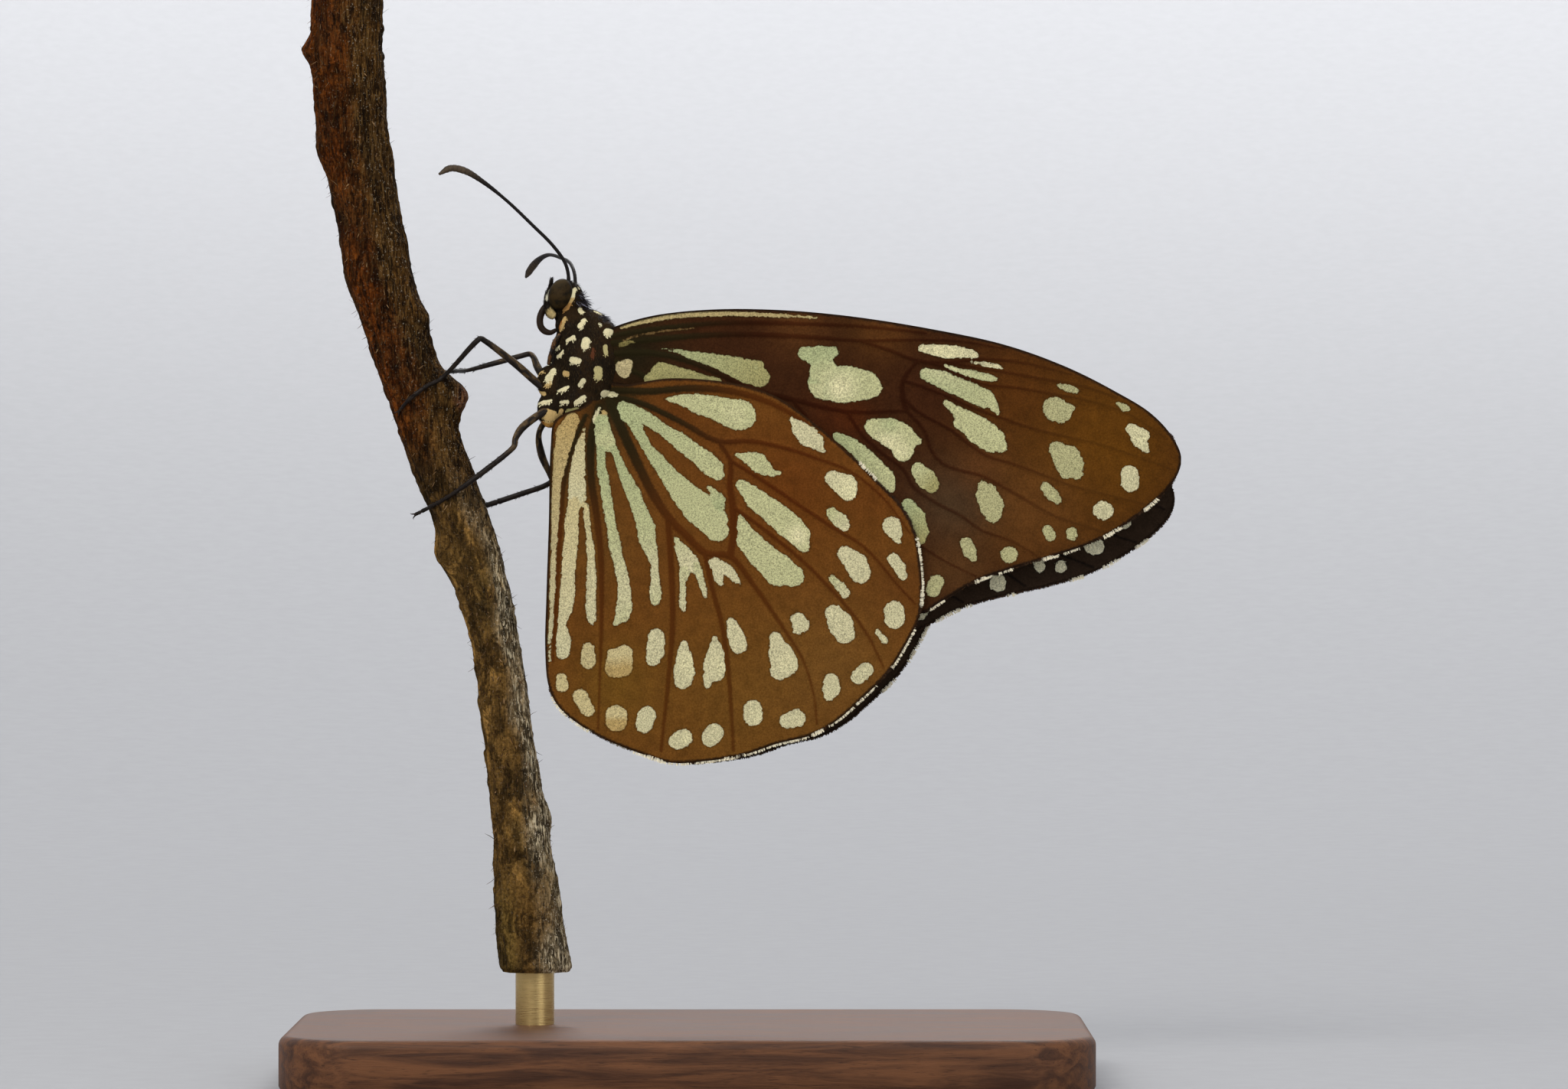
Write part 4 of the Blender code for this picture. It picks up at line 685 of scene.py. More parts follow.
# Pale marks of the hindwing: tone at the root end, tone at the other end, chains of (x, z, half width)
HINDWING_MARKS = [
    (PALE, PALE, [[(-7.42, 55.3, .16), (-7.6, 54.9, .2), (-7.86, 54.25, .12)],
                  [(-7.1, 56.5, .26), (-6.3, 56.47, .26), (-5.9, 56.42, .12)]]),
    (OCHRE, OCHRE, [[(-7.05, 55.02, .22), (-7.0, 54.95, .24)]]),
    (OCHRE, PALE, [[(-9.6, 54.35, .6), (-10.1, 53.3, .8), (-10.45, 52, .63), (-10.7, 50.7, .5),
                    (-10.9, 49, .4), (-11, 47, .33), (-11.08, 45, .27), (-11.15, 43, .25), (-11.27, 40, .22),
                    (-11.33, 38, .2), (-11.5, 36, .13), (-11.48, 34.5, .07)]]),
    (TAN, PALE, [[(-8.6, 53.7, .08), (-8.87, 52.5, .33), (-9.1, 51, .52), (-9.22, 49.5, .62),
                  (-9.2, 48, .78)],
                 [(-9.2, 48, .78), (-9.55, 47, .47), (-9.64, 46, .56), (-9.73, 44, .57), (-9.9, 42, .55),
                  (-10, 40, .62), (-10.2, 38.7, .52), (-10.5, 37.6, .3), (-10.3, 36.4, .6),
                  (-10.35, 35.2, .55)],
                 [(-9.0, 47.8, .3), (-8.5, 47.2, .2), (-8.4, 46.2, .25), (-8.22, 45, .24), (-8.07, 43, .32),
                  (-8.02, 41, .42), (-8.05, 39, .45), (-8, 38, .33), (-7.95, 37.6, .1)]]),
    (TAN, TAN, [[(-8.25, 35.5, .5), (-8.3, 34.5, .65)], [(-10.5, 33.1, .42), (-10.45, 32.5, .53)],
                [(-8.95, 31.6, .6), (-8.35, 30.5, .55)]]),
    (GREEN, CREAM, [[(-7.25, 54.3, .55), (-7.05, 53.3, .7), (-6.87, 52.5, .78)],
                    [(-6.95, 52.4, .5), (-7.23, 51.8, .37), (-7.2, 50.5, .35), (-6.93, 49, .42),
                     (-6.63, 47, .42), (-6.28, 45, .42), (-5.88, 43, .45), (-5.6, 42, .47), (-5.4, 41, .47),
                     (-5.33, 40, .57), (-5.33, 38.9, .66), (-5.5, 38.2, .55), (-6.1, 37.6, .15)],
                    [(-6.5, 52.3, .3), (-6.03, 51.6, .3), (-5.42, 50, .4), (-4.7, 48.5, .55), (-4.1, 47, .62),
                     (-3.57, 45.5, .75), (-3.4, 44.5, .72), (-3.1, 43.5, .5), (-2.87, 42.5, .33),
                     (-2.73, 41, .37), (-2.73, 40, .52), (-2.75, 39.5, .4)]]),
    (GREEN, CREAM, [[(-5.4, 55.4, .5), (-4.8, 54.9, .85), (-4.2, 54.8, .6), (-3.4, 54.4, .55),
                     (-2.25, 53.65, .47), (-.95, 52.75, .6), (.35, 51.7, .72), (1.45, 50.95, .8),
                     (2.1, 50.3, .75), (2.4, 49.9, .5)],
                    [(-4.8, 54.7, .6), (-4.4, 53.9, .5), (-4, 53, .38), (-3.25, 51.8, .45), (-2.4, 50.75, .6),
                     (-1.5, 49.6, .75), (-.45, 48.35, 1.05), (.8, 47.1, 1.3), (1.9, 46.1, 1.25),
                     (2.3, 45.3, .95), (2.4, 44.9, .55)],
                    [(2.3, 47.2, .65), (2.3, 47.7, .65), (2, 48.45, .25), (1.55, 48.85, .1)]]),
    (CREAM, PALE, [[(-1.15, 44.7, .12), (-.8, 44, .4), (-.35, 43.2, .65), (0, 42.6, .8)],
                   [(-.2, 42.4, .5), (-.4, 41.8, .45), (-.5, 41, .28), (-.52, 40, .25), (-.5, 39.2, .27),
                    (-.5, 38.8, .18)],
                   [(.4, 42.5, .45), (.7, 42, .4), (.95, 41.2, .25), (1.2, 40.4, .2), (1.35, 39.8, .12)]]),
    (PALE, PALE, [[(-2.65, 36.5, .65), (-2.75, 35.3, .75), (-2.95, 34.75, .6)],
                  [(-.4, 35.9, .3), (-.4, 35, .6), (-.45, 33.6, .85), (-.5, 32.95, .75)],
                  [(2.1, 36.3, .2), (2.15, 35.3, .65), (2.1, 34, .9), (2.2, 33.6, .75)],
                  [(2.0, 33.7, .6), (1.6, 33.2, .45), (1.5, 32.5, .25)]]),
    (TAN, OCHRE, [[(-6.1, 34.9, .65), (-6.2, 33.85, .7)], [(-5.35, 35.1, .7), (-5.4, 34, .75)],
                  [(-5.8, 34.9, .7), (-5.8, 33.9, .7)], [(-6, 30, .88), (-6, 29.6, .88)]]),
    (PALE, PALE, [[(-3.5, 30.05, .7), (-3.7, 29.3, .7)], [(-.95, 27.95, .7), (-.45, 28.2, .75)],
                  [(1.75, 28.2, .7), (2.1, 28.6, .75)]]),
    (CREAM, CREAM, [[(-1.9, 56.05, .1), (-.8, 56, .4), (.6, 55.75, .75), (2.2, 55.35, .95), (3.6, 54.9, 1.2),
                     (4.2, 54.75, 1.25)]]),
    (PALE, PALE, [[(8.4, 54.45, .1), (9.1, 53.6, .65), (9.8, 53, .85), (10.4, 52.6, .65), (11, 51.8, .2)]]),
    (CREAM, CREAM, [[(3.9, 51.5, .15), (4.9, 51.2, .5), (5.7, 50.85, .75), (6.3, 50.35, .55), (6.8, 50, .3),
                     (7.5, 50, .1)],
                    [(4.35, 49, .45), (5.5, 47.8, .82), (6.9, 46.8, .95), (8.3, 45.6, 1.05), (9, 44.9, .95),
                     (9.4, 44, .55)],
                    [(4.15, 46.4, .12), (4.45, 45.5, .5), (4.9, 44.4, .95), (6, 43.2, 1.1), (7.4, 42, 1.3),
                     (8.6, 41.5, .85)]]),
    (PALE, PALE, [[(2.1, 42.5, .5), (2.4, 42.2, .6), (2.45, 41.3, .35), (2.6, 40.95, .2)],
                  [(2.6, 42.3, .5), (3.2, 42, .45), (3.8, 41.3, .3), (4.2, 40.9, .12)]]),
    (PALE, BRIGHT, [[(11.9, 49.5, .7), (12.9, 48.9, .95), (13.1, 48.4, .7)]]),
    (CREAM, PALE, [[(11.7, 46.7, .45), (12.5, 46, .6), (12.8, 45.6, .4)],
                   [(11.75, 41.3, .32), (12.4, 40.7, .42), (12.8, 40.1, .42)]]),
    (PALE, PALE, [[(16.7, 45.6, .8), (17.05, 44.9, .5), (17.2, 44.4, .25)],
                  [(12.9, 43.3, .7), (13.7, 42.5, .95), (14.1, 41.8, .85), (14.1, 41.4, .5)],
                  [(16.8, 42.9, .45), (17.3, 42.2, .5), (17.6, 41.5, .32)],
                  [(3.5, 37.6, .4), (3.85, 36.6, .65), (4.1, 35.85, .68)],
                  [(7.1, 36.4, .5), (7.5, 35.2, 1), (7.8, 34.3, 1.1), (7.4, 33.7, .75)],
                  [(8.95, 37.9, .6), (9.3, 37.5, .6)], [(8.95, 37.7, .5), (8.95, 37.1, .4)],
                  [(11.9, 38.4, .72), (12.5, 37.5, 1.05), (12.8, 36.8, .85)],
                  [(16.9, 38.6, .85), (16.95, 38, .8)], [(15.5, 36.9, .2), (16.1, 36.15, .22)],
                  [(11.7, 32.85, .62), (11.7, 32.2, .7), (11.5, 31.6, .4)],
                  [(13.9, 33.2, .6), (14.6, 33.8, .58)], [(5.25, 30.5, .75), (5.25, 30, .8)],
                  [(8.05, 29.6, .6), (8.85, 29.8, .72)]]),
]
FOREWING_MARKS = [
    (OLIVE, OLIVE, [[(-3.4, 57.7, .3), (-2.3, 58.3, .85), (-.8, 58, .7), (.8, 57.8, .4), (2.4, 57.6, .2)]]),
    (GREEN, OLIVE, [[(-2.2, 60.18, .05), (-1, 60.05, .2), (.3, 59.65, .35), (2, 59.25, .55), (3.6, 58.82, .8),
                     (5, 58.3, 1), (5.8, 57.9, .8)], [(5.3, 58.6, .5), (5.7, 58.8, .45)]]),
    (GREEN, GREEN, [[(9.5, 59.85, .55), (11.9, 60, .42)], [(10.2, 59.6, .7), (11.2, 59.7, .7)]]),
    (GREEN, CREAM, [[(10.7, 59.7, .8), (11, 58.6, 1.05), (11.1, 57.4, 1.35)],
                    [(11.1, 57.4, 1.35), (12.9, 57.3, 1.5), (14.4, 57.25, 1.2), (15, 57.1, .85)]]),
    (CREAM, CREAM, [[(15.2, 53.75, .75), (16.4, 53.4, 1.15), (17.5, 52.8, 1.25), (17.6, 51.8, .85)],
                    [(17.5, 52.8, 1.2), (18.9, 52.6, .3)]]),
    (GREEN, CREAM, [[(12.2, 53, .35), (13.5, 52.2, .6), (15, 50.9, .65), (16.2, 49.6, .7),
                     (16.5, 48.8, .5)]]),
    (GREEN, OLIVE, [[(18, 47.4, .5), (18.7, 46.3, .75), (19.05, 45.2, .65), (19.05, 44.5, .4)]]),
    (CREAM, OLIVE, [[(18.9, 50.2, .6), (19.5, 49.5, .8), (20, 49, .62)]]),
    (PALE, PALE, [[(19.2, 60.25, .3), (20.2, 60.12, .48), (21.8, 59.98, .52), (23.2, 59.8, .35),
                   (23.7, 59.65, .17)],
                  [(23.2, 59.12, .1), (24, 59.02, .17), (25.4, 58.77, .23), (25.75, 58.65, .12)]]),
    (GREEN, CREAM, [[(21.1, 58.85, .06), (22, 58.5, .2), (23.5, 58.1, .35), (24.6, 57.85, .33),
                     (25.3, 57.75, .17)],
                    [(19.5, 58.15, .52), (21, 57.6, .72), (23, 56.75, .8), (24.4, 56.1, .75),
                     (24.9, 55.8, .45), (25.4, 54.95, .18)]]),
    (CREAM, CREAM, [[(21.1, 55.8, .2), (22, 55.15, .45), (22.8, 54.3, .85), (23.9, 53.5, 1.1), (25, 52.7, 1),
                     (25.6, 52.25, .6)], [(22.6, 54.3, .5), (22.2, 54.1, .45)]]),
    (BEIGE, BEIGE, [[(-5.6, 58.7, .46), (-5.1, 58.92, .42), (-4.86, 59.18, .16)],
                    [(-5.6, 58.6, .5), (-5.35, 58.2, .42)], [(-5.1, 58.92, .4), (-5.25, 58.3, .42)]]),
    (DULL, DULL, [[(30.5, 57.2, .18), (31.2, 57, .28), (31.8, 56.8, .22)],
                  [(30.1, 55.3, .95), (30.6, 55, .9)],
                   [(30.9, 55.3, .5), (31.6, 55.35, .2)], [(35.3, 55.7, .15), (35.8, 55.4, .3),
                                                           (36.1, 55.25, .22)],
                   [(30.3, 51.9, .65), (31.1, 51.1, 1.2), (31.5, 50.6, 1), (32, 49.9, .45)],
                   [(31.2, 50.8, .9), (31, 50.1, .55)], [(29.35, 48.8, .42), (29.9, 48.2, .5),
                                                         (30.3, 47.8, .35)],
                   [(24.1, 49.05, .35), (24.5, 48.3, .85), (24.9, 47.3, 1), (25, 46.6, .7)],
                   [(22.85, 44.2, .5), (23.1, 43.5, .58), (23.4, 43, .35)], [(26.35, 43.25, .68)],
                   [(29.5, 45.3, .38), (29.7, 44.85, .42)], [(31.5, 45.05, .48), (31.5, 44.9, .5)],
                   [(20.4, 41, .58), (20.1, 40.35, .58)]]),
    (PALE, PALE, [[(36.4, 53.6, .5), (37.2, 53, .65), (37, 52.8, .6), (37.5, 52.1, .38), (37.7, 51.85, .2)],
                  [(36.2, 49.9, .7), (36.3, 49.2, .75)], [(34, 46.95, .72), (34.2, 46.85, .7)]]),
]
COSTAL_LINE = [(-5.6, 61.95, .06), (-4.5, 62.28, .15), (-2, 62.82, .19), (0, 63.04, .2), (3, 63.12, .2),
               (5, 63.08, .17), (8, 62.96, .12), (10.5, 62.78, .05)]
# Fainter tan lines between the thick veins at the forewing's root
ROOT_LINES = [[(-5.4, 60.95, .07), (-4.2, 61.3, .08), (-2, 61.72, .07), (.4, 61.92, .03)],
              [(-5.6, 60.55, .18), (-5.0, 60.75, .16), (-4.5, 60.8, .06)]]
# Tones of the line along the front edge and of the two root lines
THIN_TONES = (srgb(172, 154, 106), srgb(108, 84, 50), srgb(124, 112, 66))
# Soft places where a mark is lighter: x, z, reach, tone, strength
MARK_GLOW = [
    (12.4, 57.0, 1.5, BRIGHT, .95), (16.4, 52.6, 1.2, BRIGHT, 1.0), (17.6, 51.7, .8, BRIGHT, .7),
    (9.0, 44.8, 1.0, BRIGHT, 1.0), (.1, 34.2, .9, BRIGHT, .9), (2.75, 34.2, .8, BRIGHT, .9),
    (-.25, 28.1, .6, BRIGHT, .7), (5.7, 30.2, .5, BRIGHT, .6), (8.1, 34.3, .8, BRIGHT, .6),
    (21.0, 60.0, 2.5, BRIGHT, .8), (37.0, 53.0, 1.0, BRIGHT, .5), (3.8, 54.8, 1.0, BRIGHT, .25),
    (7.0, 42.4, 1.4, CREAM, .5), (-5.5, 40.5, 3.2, PALE, .8), (-2.8, 42.0, 2.4, PALE, .7),
    (-1.0, 48.5, 1.6, CREAM, .6), (16.5, 54.0, 1.0, GREEN, .8), (-6.5, 46.0, 2.5, CREAM, .4),
    (-7.0, 51.0, 1.2, GREEN, .8), (13.0, 49.0, .9, BRIGHT, .5),
]
# Fringe: where the scales of the margin are white, near wings
HINDWING_WHITE = [
    [(-11.1, 31.4), (-10.2, 30.1)], [(-9.6, 29.7), (-8.1, 28.4)], [(-7.2, 27.9), (-5.2, 27.1)],
    [(-4.6, 26.95), (-2.1, 26.1)], [(-1.5, 26.1), (0, 26.2)], [(.7, 26.3), (2.6, 26.3)],
    [(2.9, 26.4), (4.2, 26.5)], [(4.6, 26.8), (7.2, 27.8)], [(7.5, 27.9), (9.6, 28.3)],
    [(10.3, 28.4), (11, 28.7)], [(11.7, 29.3), (13.3, 30.7)], [(13.9, 31.1), (15.4, 32.3)],
    [(16.8, 34.1), (18.6, 37)], [(18.75, 44.4), (18.9, 43), (19.1, 41), (19.05, 39.2)],
    [(14, 50.7), (15.2, 49.4)],
]
FOREWING_WHITE = [
    [(38.4, 47.7), (37.6, 47.1)], [(35.5, 45.4), (34.3, 44.7)], [(32.0, 43.8), (31.0, 43.5)],
    [(30.2, 43.2), (29.3, 42.9)], [(26.5, 42.0), (25.6, 41.8)], [(24.8, 41.6), (23.7, 41.1)],
    [(20.9, 39.4), (19.9, 38.9)],
]
# The same on the far wings, where they stand
FAR_HINDWING_WHITE = [
    [(13.1, 29.8), (14.6, 31.3)], [(15.2, 31.7), (16.9, 32.8)], [(18, 34.6), (18.7, 35.8)],
    [(18.9, 36.1), (20.2, 37.9)],
]
FAR_FOREWING_WHITE = [
    [(37.8, 44.4), (37, 44)], [(35.5, 42.8), (34.2, 42.2)], [(32.4, 41.5), (30, 41.15)],
    [(26.8, 40.15), (25.4, 40.05)], [(24.1, 39.85), (22.9, 39.1)], [(22.3, 38.8), (20.5, 37.8)],
]
# Ground tones laid in soft patches: x, z, reach, tone, strength
HINDWING_GROUND = srgb(94, 57, 20)
HINDWING_PATCHES = [
    (4.0, 31.0, 8.0, srgb(98, 66, 24), .8), (8.0, 49.0, 5.5, srgb(90, 48, 15), .8),
    (12.0, 34.0, 6.0, srgb(101, 69, 29), .7), (-6.0, 32.5, 4.0, srgb(98, 68, 22), .8),
    (-7.0, 44.0, 4.0, srgb(88, 58, 22), .6), (3.0, 52.0, 3.0, srgb(90, 51, 18), .6),
    (-1.0, 55.0, 3.2, srgb(84, 46, 15), .8), (15.5, 48.0, 2.5, srgb(88, 48, 16), .6),
    (18.0, 41.0, 3.0, srgb(80, 46, 18), .5), (-9.5, 50.0, 3.0, srgb(70, 50, 22), .7),
    (-6.4, 55.6, 2.6, srgb(32, 25, 11), 1.0), (-7.5, 53.0, 1.6, srgb(40, 32, 16), .7),
]
FOREWING_GROUND = srgb(52, 28, 12)
FOREWING_PATCHES = [
    (34.0, 52.0, 9.0, srgb(86, 52, 12), 1.0), (28.0, 47.0, 5.0, srgb(88, 54, 22), .9),
    (27.0, 57.0, 4.0, srgb(78, 44, 14), .8), (21.8, 47.5, 3.6, srgb(66, 48, 30), .9),
    (24.0, 50.6, 2.2, srgb(84, 50, 23), .6), (12.0, 54.5, 3.0, srgb(62, 28, 9), .7),
    (-4.6, 59.8, 3.6, srgb(30, 24, 11), 1.0), (20.0, 57.0, 3.0, srgb(54, 26, 12), .5),
    (15.0, 62.0, 3.0, srgb(62, 38, 14), .5), (22.0, 42.0, 3.0, srgb(80, 52, 26), .7),
    (9.0, 62.3, 2.6, srgb(78, 46, 20), .9), (16.0, 61.8, 2.4, srgb(80, 47, 19), .9),
    (13.5, 54.6, 1.6, srgb(66, 30, 9), .7),
]


def forewing_middle(x, z):
    """How far the near forewing's middle surface lies from the middle plane."""
    reach = np.hypot(x - FOREWING_ROOT[0], z - FOREWING_ROOT[1])
    sway = 0.22 * np.sin(0.13 * x + 0.05 * z) * ease(0.0, 20.0, reach)
    return 0.74 + 0.012 * np.maximum(0.0, x + 6.0) + 0.55 * np.exp(-reach / 5.0) + sway


def hindwing_middle(x, z):
    """The hindwing lies outside the forewing, rounds the abdomen and dives to its root."""
    reach = np.hypot(x - HINDWING_ROOT[0], z - HINDWING_ROOT[1])
    over = 0.34 * np.exp(-((x + 9.4) / 2.5) ** 2) * ease(33.0, 37.0, z)
    curl = 0.55 * ease(10.6, 12.0, -x) * ease(33.0, 38.0, z)
    dive = 1.05 * np.exp(-(reach / 1.7) ** 2)
    return forewing_middle(x, z) + 1.14 + over - curl - dive


def inside(points, border):
    hit = np.zeros(len(points), bool)
    x, z = points[:, 0], points[:, 1]
    for a, b in zip(border, np.roll(border, -1, axis=0)):
        cross = (a[1] > z) != (b[1] > z)
        if cross.any():
            hit ^= cross & (x < a[0] + (b[0] - a[0]) * (z - a[1]) / (b[1] - a[1] + 1e-12))
    return hit


def layers(points, ground, patches, start=None):
    """Colours a point from soft patches over a ground tone."""
    tone = np.broadcast_to(ground, (len(points), 3)).copy() if start is None else start
    for x, z, reach, colour, strength in patches:
        gap = np.hypot(points[:, 0] - x, points[:, 1] - z)
        tone = blend(tone, colour, strength * np.exp(-(gap / reach) ** 2 * 1.2))
    return tone


def wing_plan(outline, veins, lines=()):
    """Fine triangles of a wing's plan, with points laid along each vein and thin line."""
    border = curve_through(outline, BORDER_STEP, closed=True)
    guides = [curve_through(points, VEIN_STEP) for _, _, points in veins.values()]
    guides += [curve_through([p[:2] for p in line], VEIN_STEP) for line in lines]
    sets = []
    for line in guides:
        way = unit(np.gradient(line, axis=0))
        across = np.stack([-way[:, 1], way[:, 0]], axis=1)
        for off in VEIN_ROWS:
            sets.append(line + across * off)
    low, high = border.min(0), border.max(0)
    rows = np.arange(low[1], high[1], WING_GRID * 0.866)
    columns = np.arange(low[0], high[0], WING_GRID)
    gx, gz = np.meshgrid(columns, rows)
    gx = gx + (np.arange(len(rows)) % 2)[:, None] * WING_GRID * 0.5
    grid = np.stack([gx.ravel(), gz.ravel()], axis=1)
    grid = grid[inside(grid, border)]
    keep = np.ones(len(grid), bool)
    for line in guides:
        box = (grid > line.min(0) - 0.4).all(1) & (grid < line.max(0) + 0.4).all(1)
        if box.any():
            gap, _, _ = to_segments(grid[box], line)
            keep[np.flatnonzero(box)[gap < 0.36]] = False
    sets.append(grid[keep])
    points = np.concatenate(sets)
    points = points[inside(points, border)]
    points = points[border_gap(points, border) > 0.1]
    every = np.concatenate([border, points])
    count = len(border)
    loop = [(i, (i + 1) % count) for i in range(count)]
    flat = delaunay_2d_cdt([Vector(p) for p in every], loop, [], 0, 0.02)
    plan = np.array([tuple(p) for p in flat[0]])
    tris = np.array([f for f in flat[2] if len(f) == 3])
    middle = plan[tris].mean(1)
    tris = tris[inside(middle, border)]
    a, b, c = (plan[tris[:, k]] for k in range(3))
    turn = (b[:, 0] - a[:, 0]) * (c[:, 1] - a[:, 1]) - (b[:, 1] - a[:, 1]) * (c[:, 0] - a[:, 0])
    tris[turn < 0] = tris[turn < 0][:, ::-1]
    return plan, tris[np.abs(turn) > 1e-6], border


def border_gap(points, border):
    """Distance to the closed border, in slices to save memory."""
    closed = np.concatenate([border, border[:1]])
    slices = np.array_split(points, max(1, len(points) // 4000))
    return np.concatenate([to_segments(part, closed)[0] for part in slices])


def wing_values(plan, border, veins, marks, ground, patches, root_height, thin=None):
    """Distances and tones a point of the plan: marks, veins, rim."""
    mark = np.full(len(plan), FAR_OFF)
    mark_tone = np.broadcast_to(CREAM, (len(plan), 3)).copy()
    for start, end, chains in marks:
        for chain in chains:
            gap, share, _ = to_segments(plan, chain)
            closer = gap < mark
            tone = blend(start, end, share)
            mark_tone[closer] = tone[closer]
            mark = np.minimum(mark, gap)
    wander = 0.05 * noise(plan[:, 0] * 0.9, plan[:, 1] * 0.9, 5)
    mark += wander + 0.03 * noise(plan[:, 0] * 2.6, plan[:, 1] * 2.6, 6)
    mark_tone = layers(plan, None, MARK_GLOW, mark_tone)
    if thin:
        for line, colour in zip((thin, *ROOT_LINES), THIN_TONES):
            gap, _, _ = to_segments(plan, line)
            closer = gap < mark
            mark_tone[closer] = colour
            mark = np.minimum(mark, gap)
    vein = np.full(len(plan), FAR_OFF)
    rise = np.zeros(len(plan))
    for first, last, points in veins.values():
        line = curve_through(points, 0.6)
        gap, share, length = to_segments(plan, line)
        near_root = 1 - ease(0.0, 1.0, share * min(1.0, length / 25.0))
        wide = first * near_root + last * ease(0.0, 1.0, share * 1.3)
        vein = np.minimum(vein, gap - wide)
        rise = np.maximum(rise, VEIN_RISE * np.exp(-(gap / 0.15) ** 2) * (0.45 + 0.55 * (1 - share)))
    edge = border_gap(plan, border)
    tone = layers(plan, ground, patches)
    reach = np.hypot(plan[:, 0] + 6.4, plan[:, 1] - root_height)
    vein_tone = blend(tone * VEIN_SHADE, tone * 0.75, ease(22.0, 34.0, plan[:, 0]))
    vein_tone = blend(vein_tone, srgb(33, 28, 12), ease(13.0, 4.0, reach) * 0.9)
    return {"mark": mark, "mark_tone": mark_tone, "vein": vein, "vein_tone": vein_tone, "edge": edge,
            "tone": tone, "rise": rise}


# How far right the near wings may reach: the end of the solids' box, less a hundredth of a millimetre
NEAR_WING_REACH = 40.49


def stay(x, z):
    """The near wings keep their place, but for the last hundredth of a millimetre at the tip."""
    return np.minimum(x, NEAR_WING_REACH), z


def turn_far_forewing(x, z):
    dx, dz = x - FOREWING_ROOT[0], z - FOREWING_ROOT[1]
    c, s = math.cos(FAR_FOREWING_TURN), math.sin(FAR_FOREWING_TURN)
    share = ease(2.0, 14.0, np.hypot(dx, dz))
    return (FOREWING_ROOT[0] + dx * c + dz * s + FAR_FOREWING_SHIFT[0] * share,
            FOREWING_ROOT[1] - dx * s + dz * c + FAR_FOREWING_SHIFT[1] * share)


def shift_far_hindwing(x, z):
    share = ease(2.0, 14.0, np.hypot(x - HINDWING_ROOT[0], z - HINDWING_ROOT[1]))
    return x + FAR_HINDWING_SHIFT[0] * share, z + FAR_HINDWING_SHIFT[1] * share


def make_wing(name, plan, tris, data, middle, side, place, mats):
    """One wing as a thin closed plate with its veins standing up on both faces."""
    x, z = plan[:, 0], plan[:, 1]
    pillow = 0.05 * ease(0.2, 1.6, data["vein"]) + 0.025 * noise(x * 0.5, z * 0.5, 11)
    centre = middle(x, z) + pillow
    half = WING_HALF_THICKNESS + data["rise"]
    half = half * (0.35 + 0.65 * ease(0.0, 0.5, data["edge"]))
    px, pz = place(x, z)
    outer = np.stack([px, side * (centre + half), pz], axis=1)
    inner = np.stack([px, side * (centre - half), pz], axis=1)
    count = len(plan)
    rim = rim_edges(tris)
    flip = side < 0
    first = tris if flip else tris[:, ::-1]
    second = (tris[:, ::-1] if flip else tris) + count
    a, b = rim[:, 0], rim[:, 1]
    wall = np.concatenate([np.stack([b, a, a + count], 1), np.stack([b, a + count, b + count], 1)])
    if not flip:
        wall = wall[:, ::-1]
    faces = np.concatenate([first, second, wall])
    values = {k: np.concatenate([v, v]) for k, v in data.items() if k != "rise"}
    upper = (np.arange(2 * count) >= count)[:, None]
    # Painted light: the upper faces' pale marks are blended towards a bright cream, as if lit through the
    # wing.
    pale = blend(values["mark_tone"], UPPER_MARK_BACKLIT, 0.7)
    for key, tone in (("tone", UPPER_GROUND), ("vein_tone", UPPER_VEIN), ("mark_tone", pale)):
        values[key] = np.where(upper, tone, values[key])
    points = np.concatenate([outer, inner])
    obj = make_piece(name, points, [faces], values, mats, (name.replace("_skin", ""),))
    slots = np.zeros(len(faces), np.int32)
    slots[len(tris):2 * len(tris)] = 1
    obj.data.polygons.foreach_set("material_index", slots)


def rim_edges(tris):
    """Directed edges that only one triangle has."""
    edges = np.concatenate([tris[:, [0, 1]], tris[:, [1, 2]], tris[:, [2, 0]]])
    key = edges[:, 0].astype(np.int64) * 10000000 + edges[:, 1]
    back = edges[:, 1].astype(np.int64) * 10000000 + edges[:, 0]
    return edges[~np.isin(key, back)]


def white_share(points, lines):
    """1 where a point of the margin is on a white dash."""
    best = np.full(len(points), FAR_OFF)
    for line in lines:
        gap, _, _ = to_segments(points, line)
        best = np.minimum(best, gap)
    return 1.0 - ease(0.16, 0.24, best)


FRINGE_STEP, FRINGE_AHEAD = 0.035, 0.3
# Fringe scales are shorter towards the near wing's tip, which reaches the end of the solids' box
WING_TIP_X, WING_TIP_FADE = 40.3, 0.6


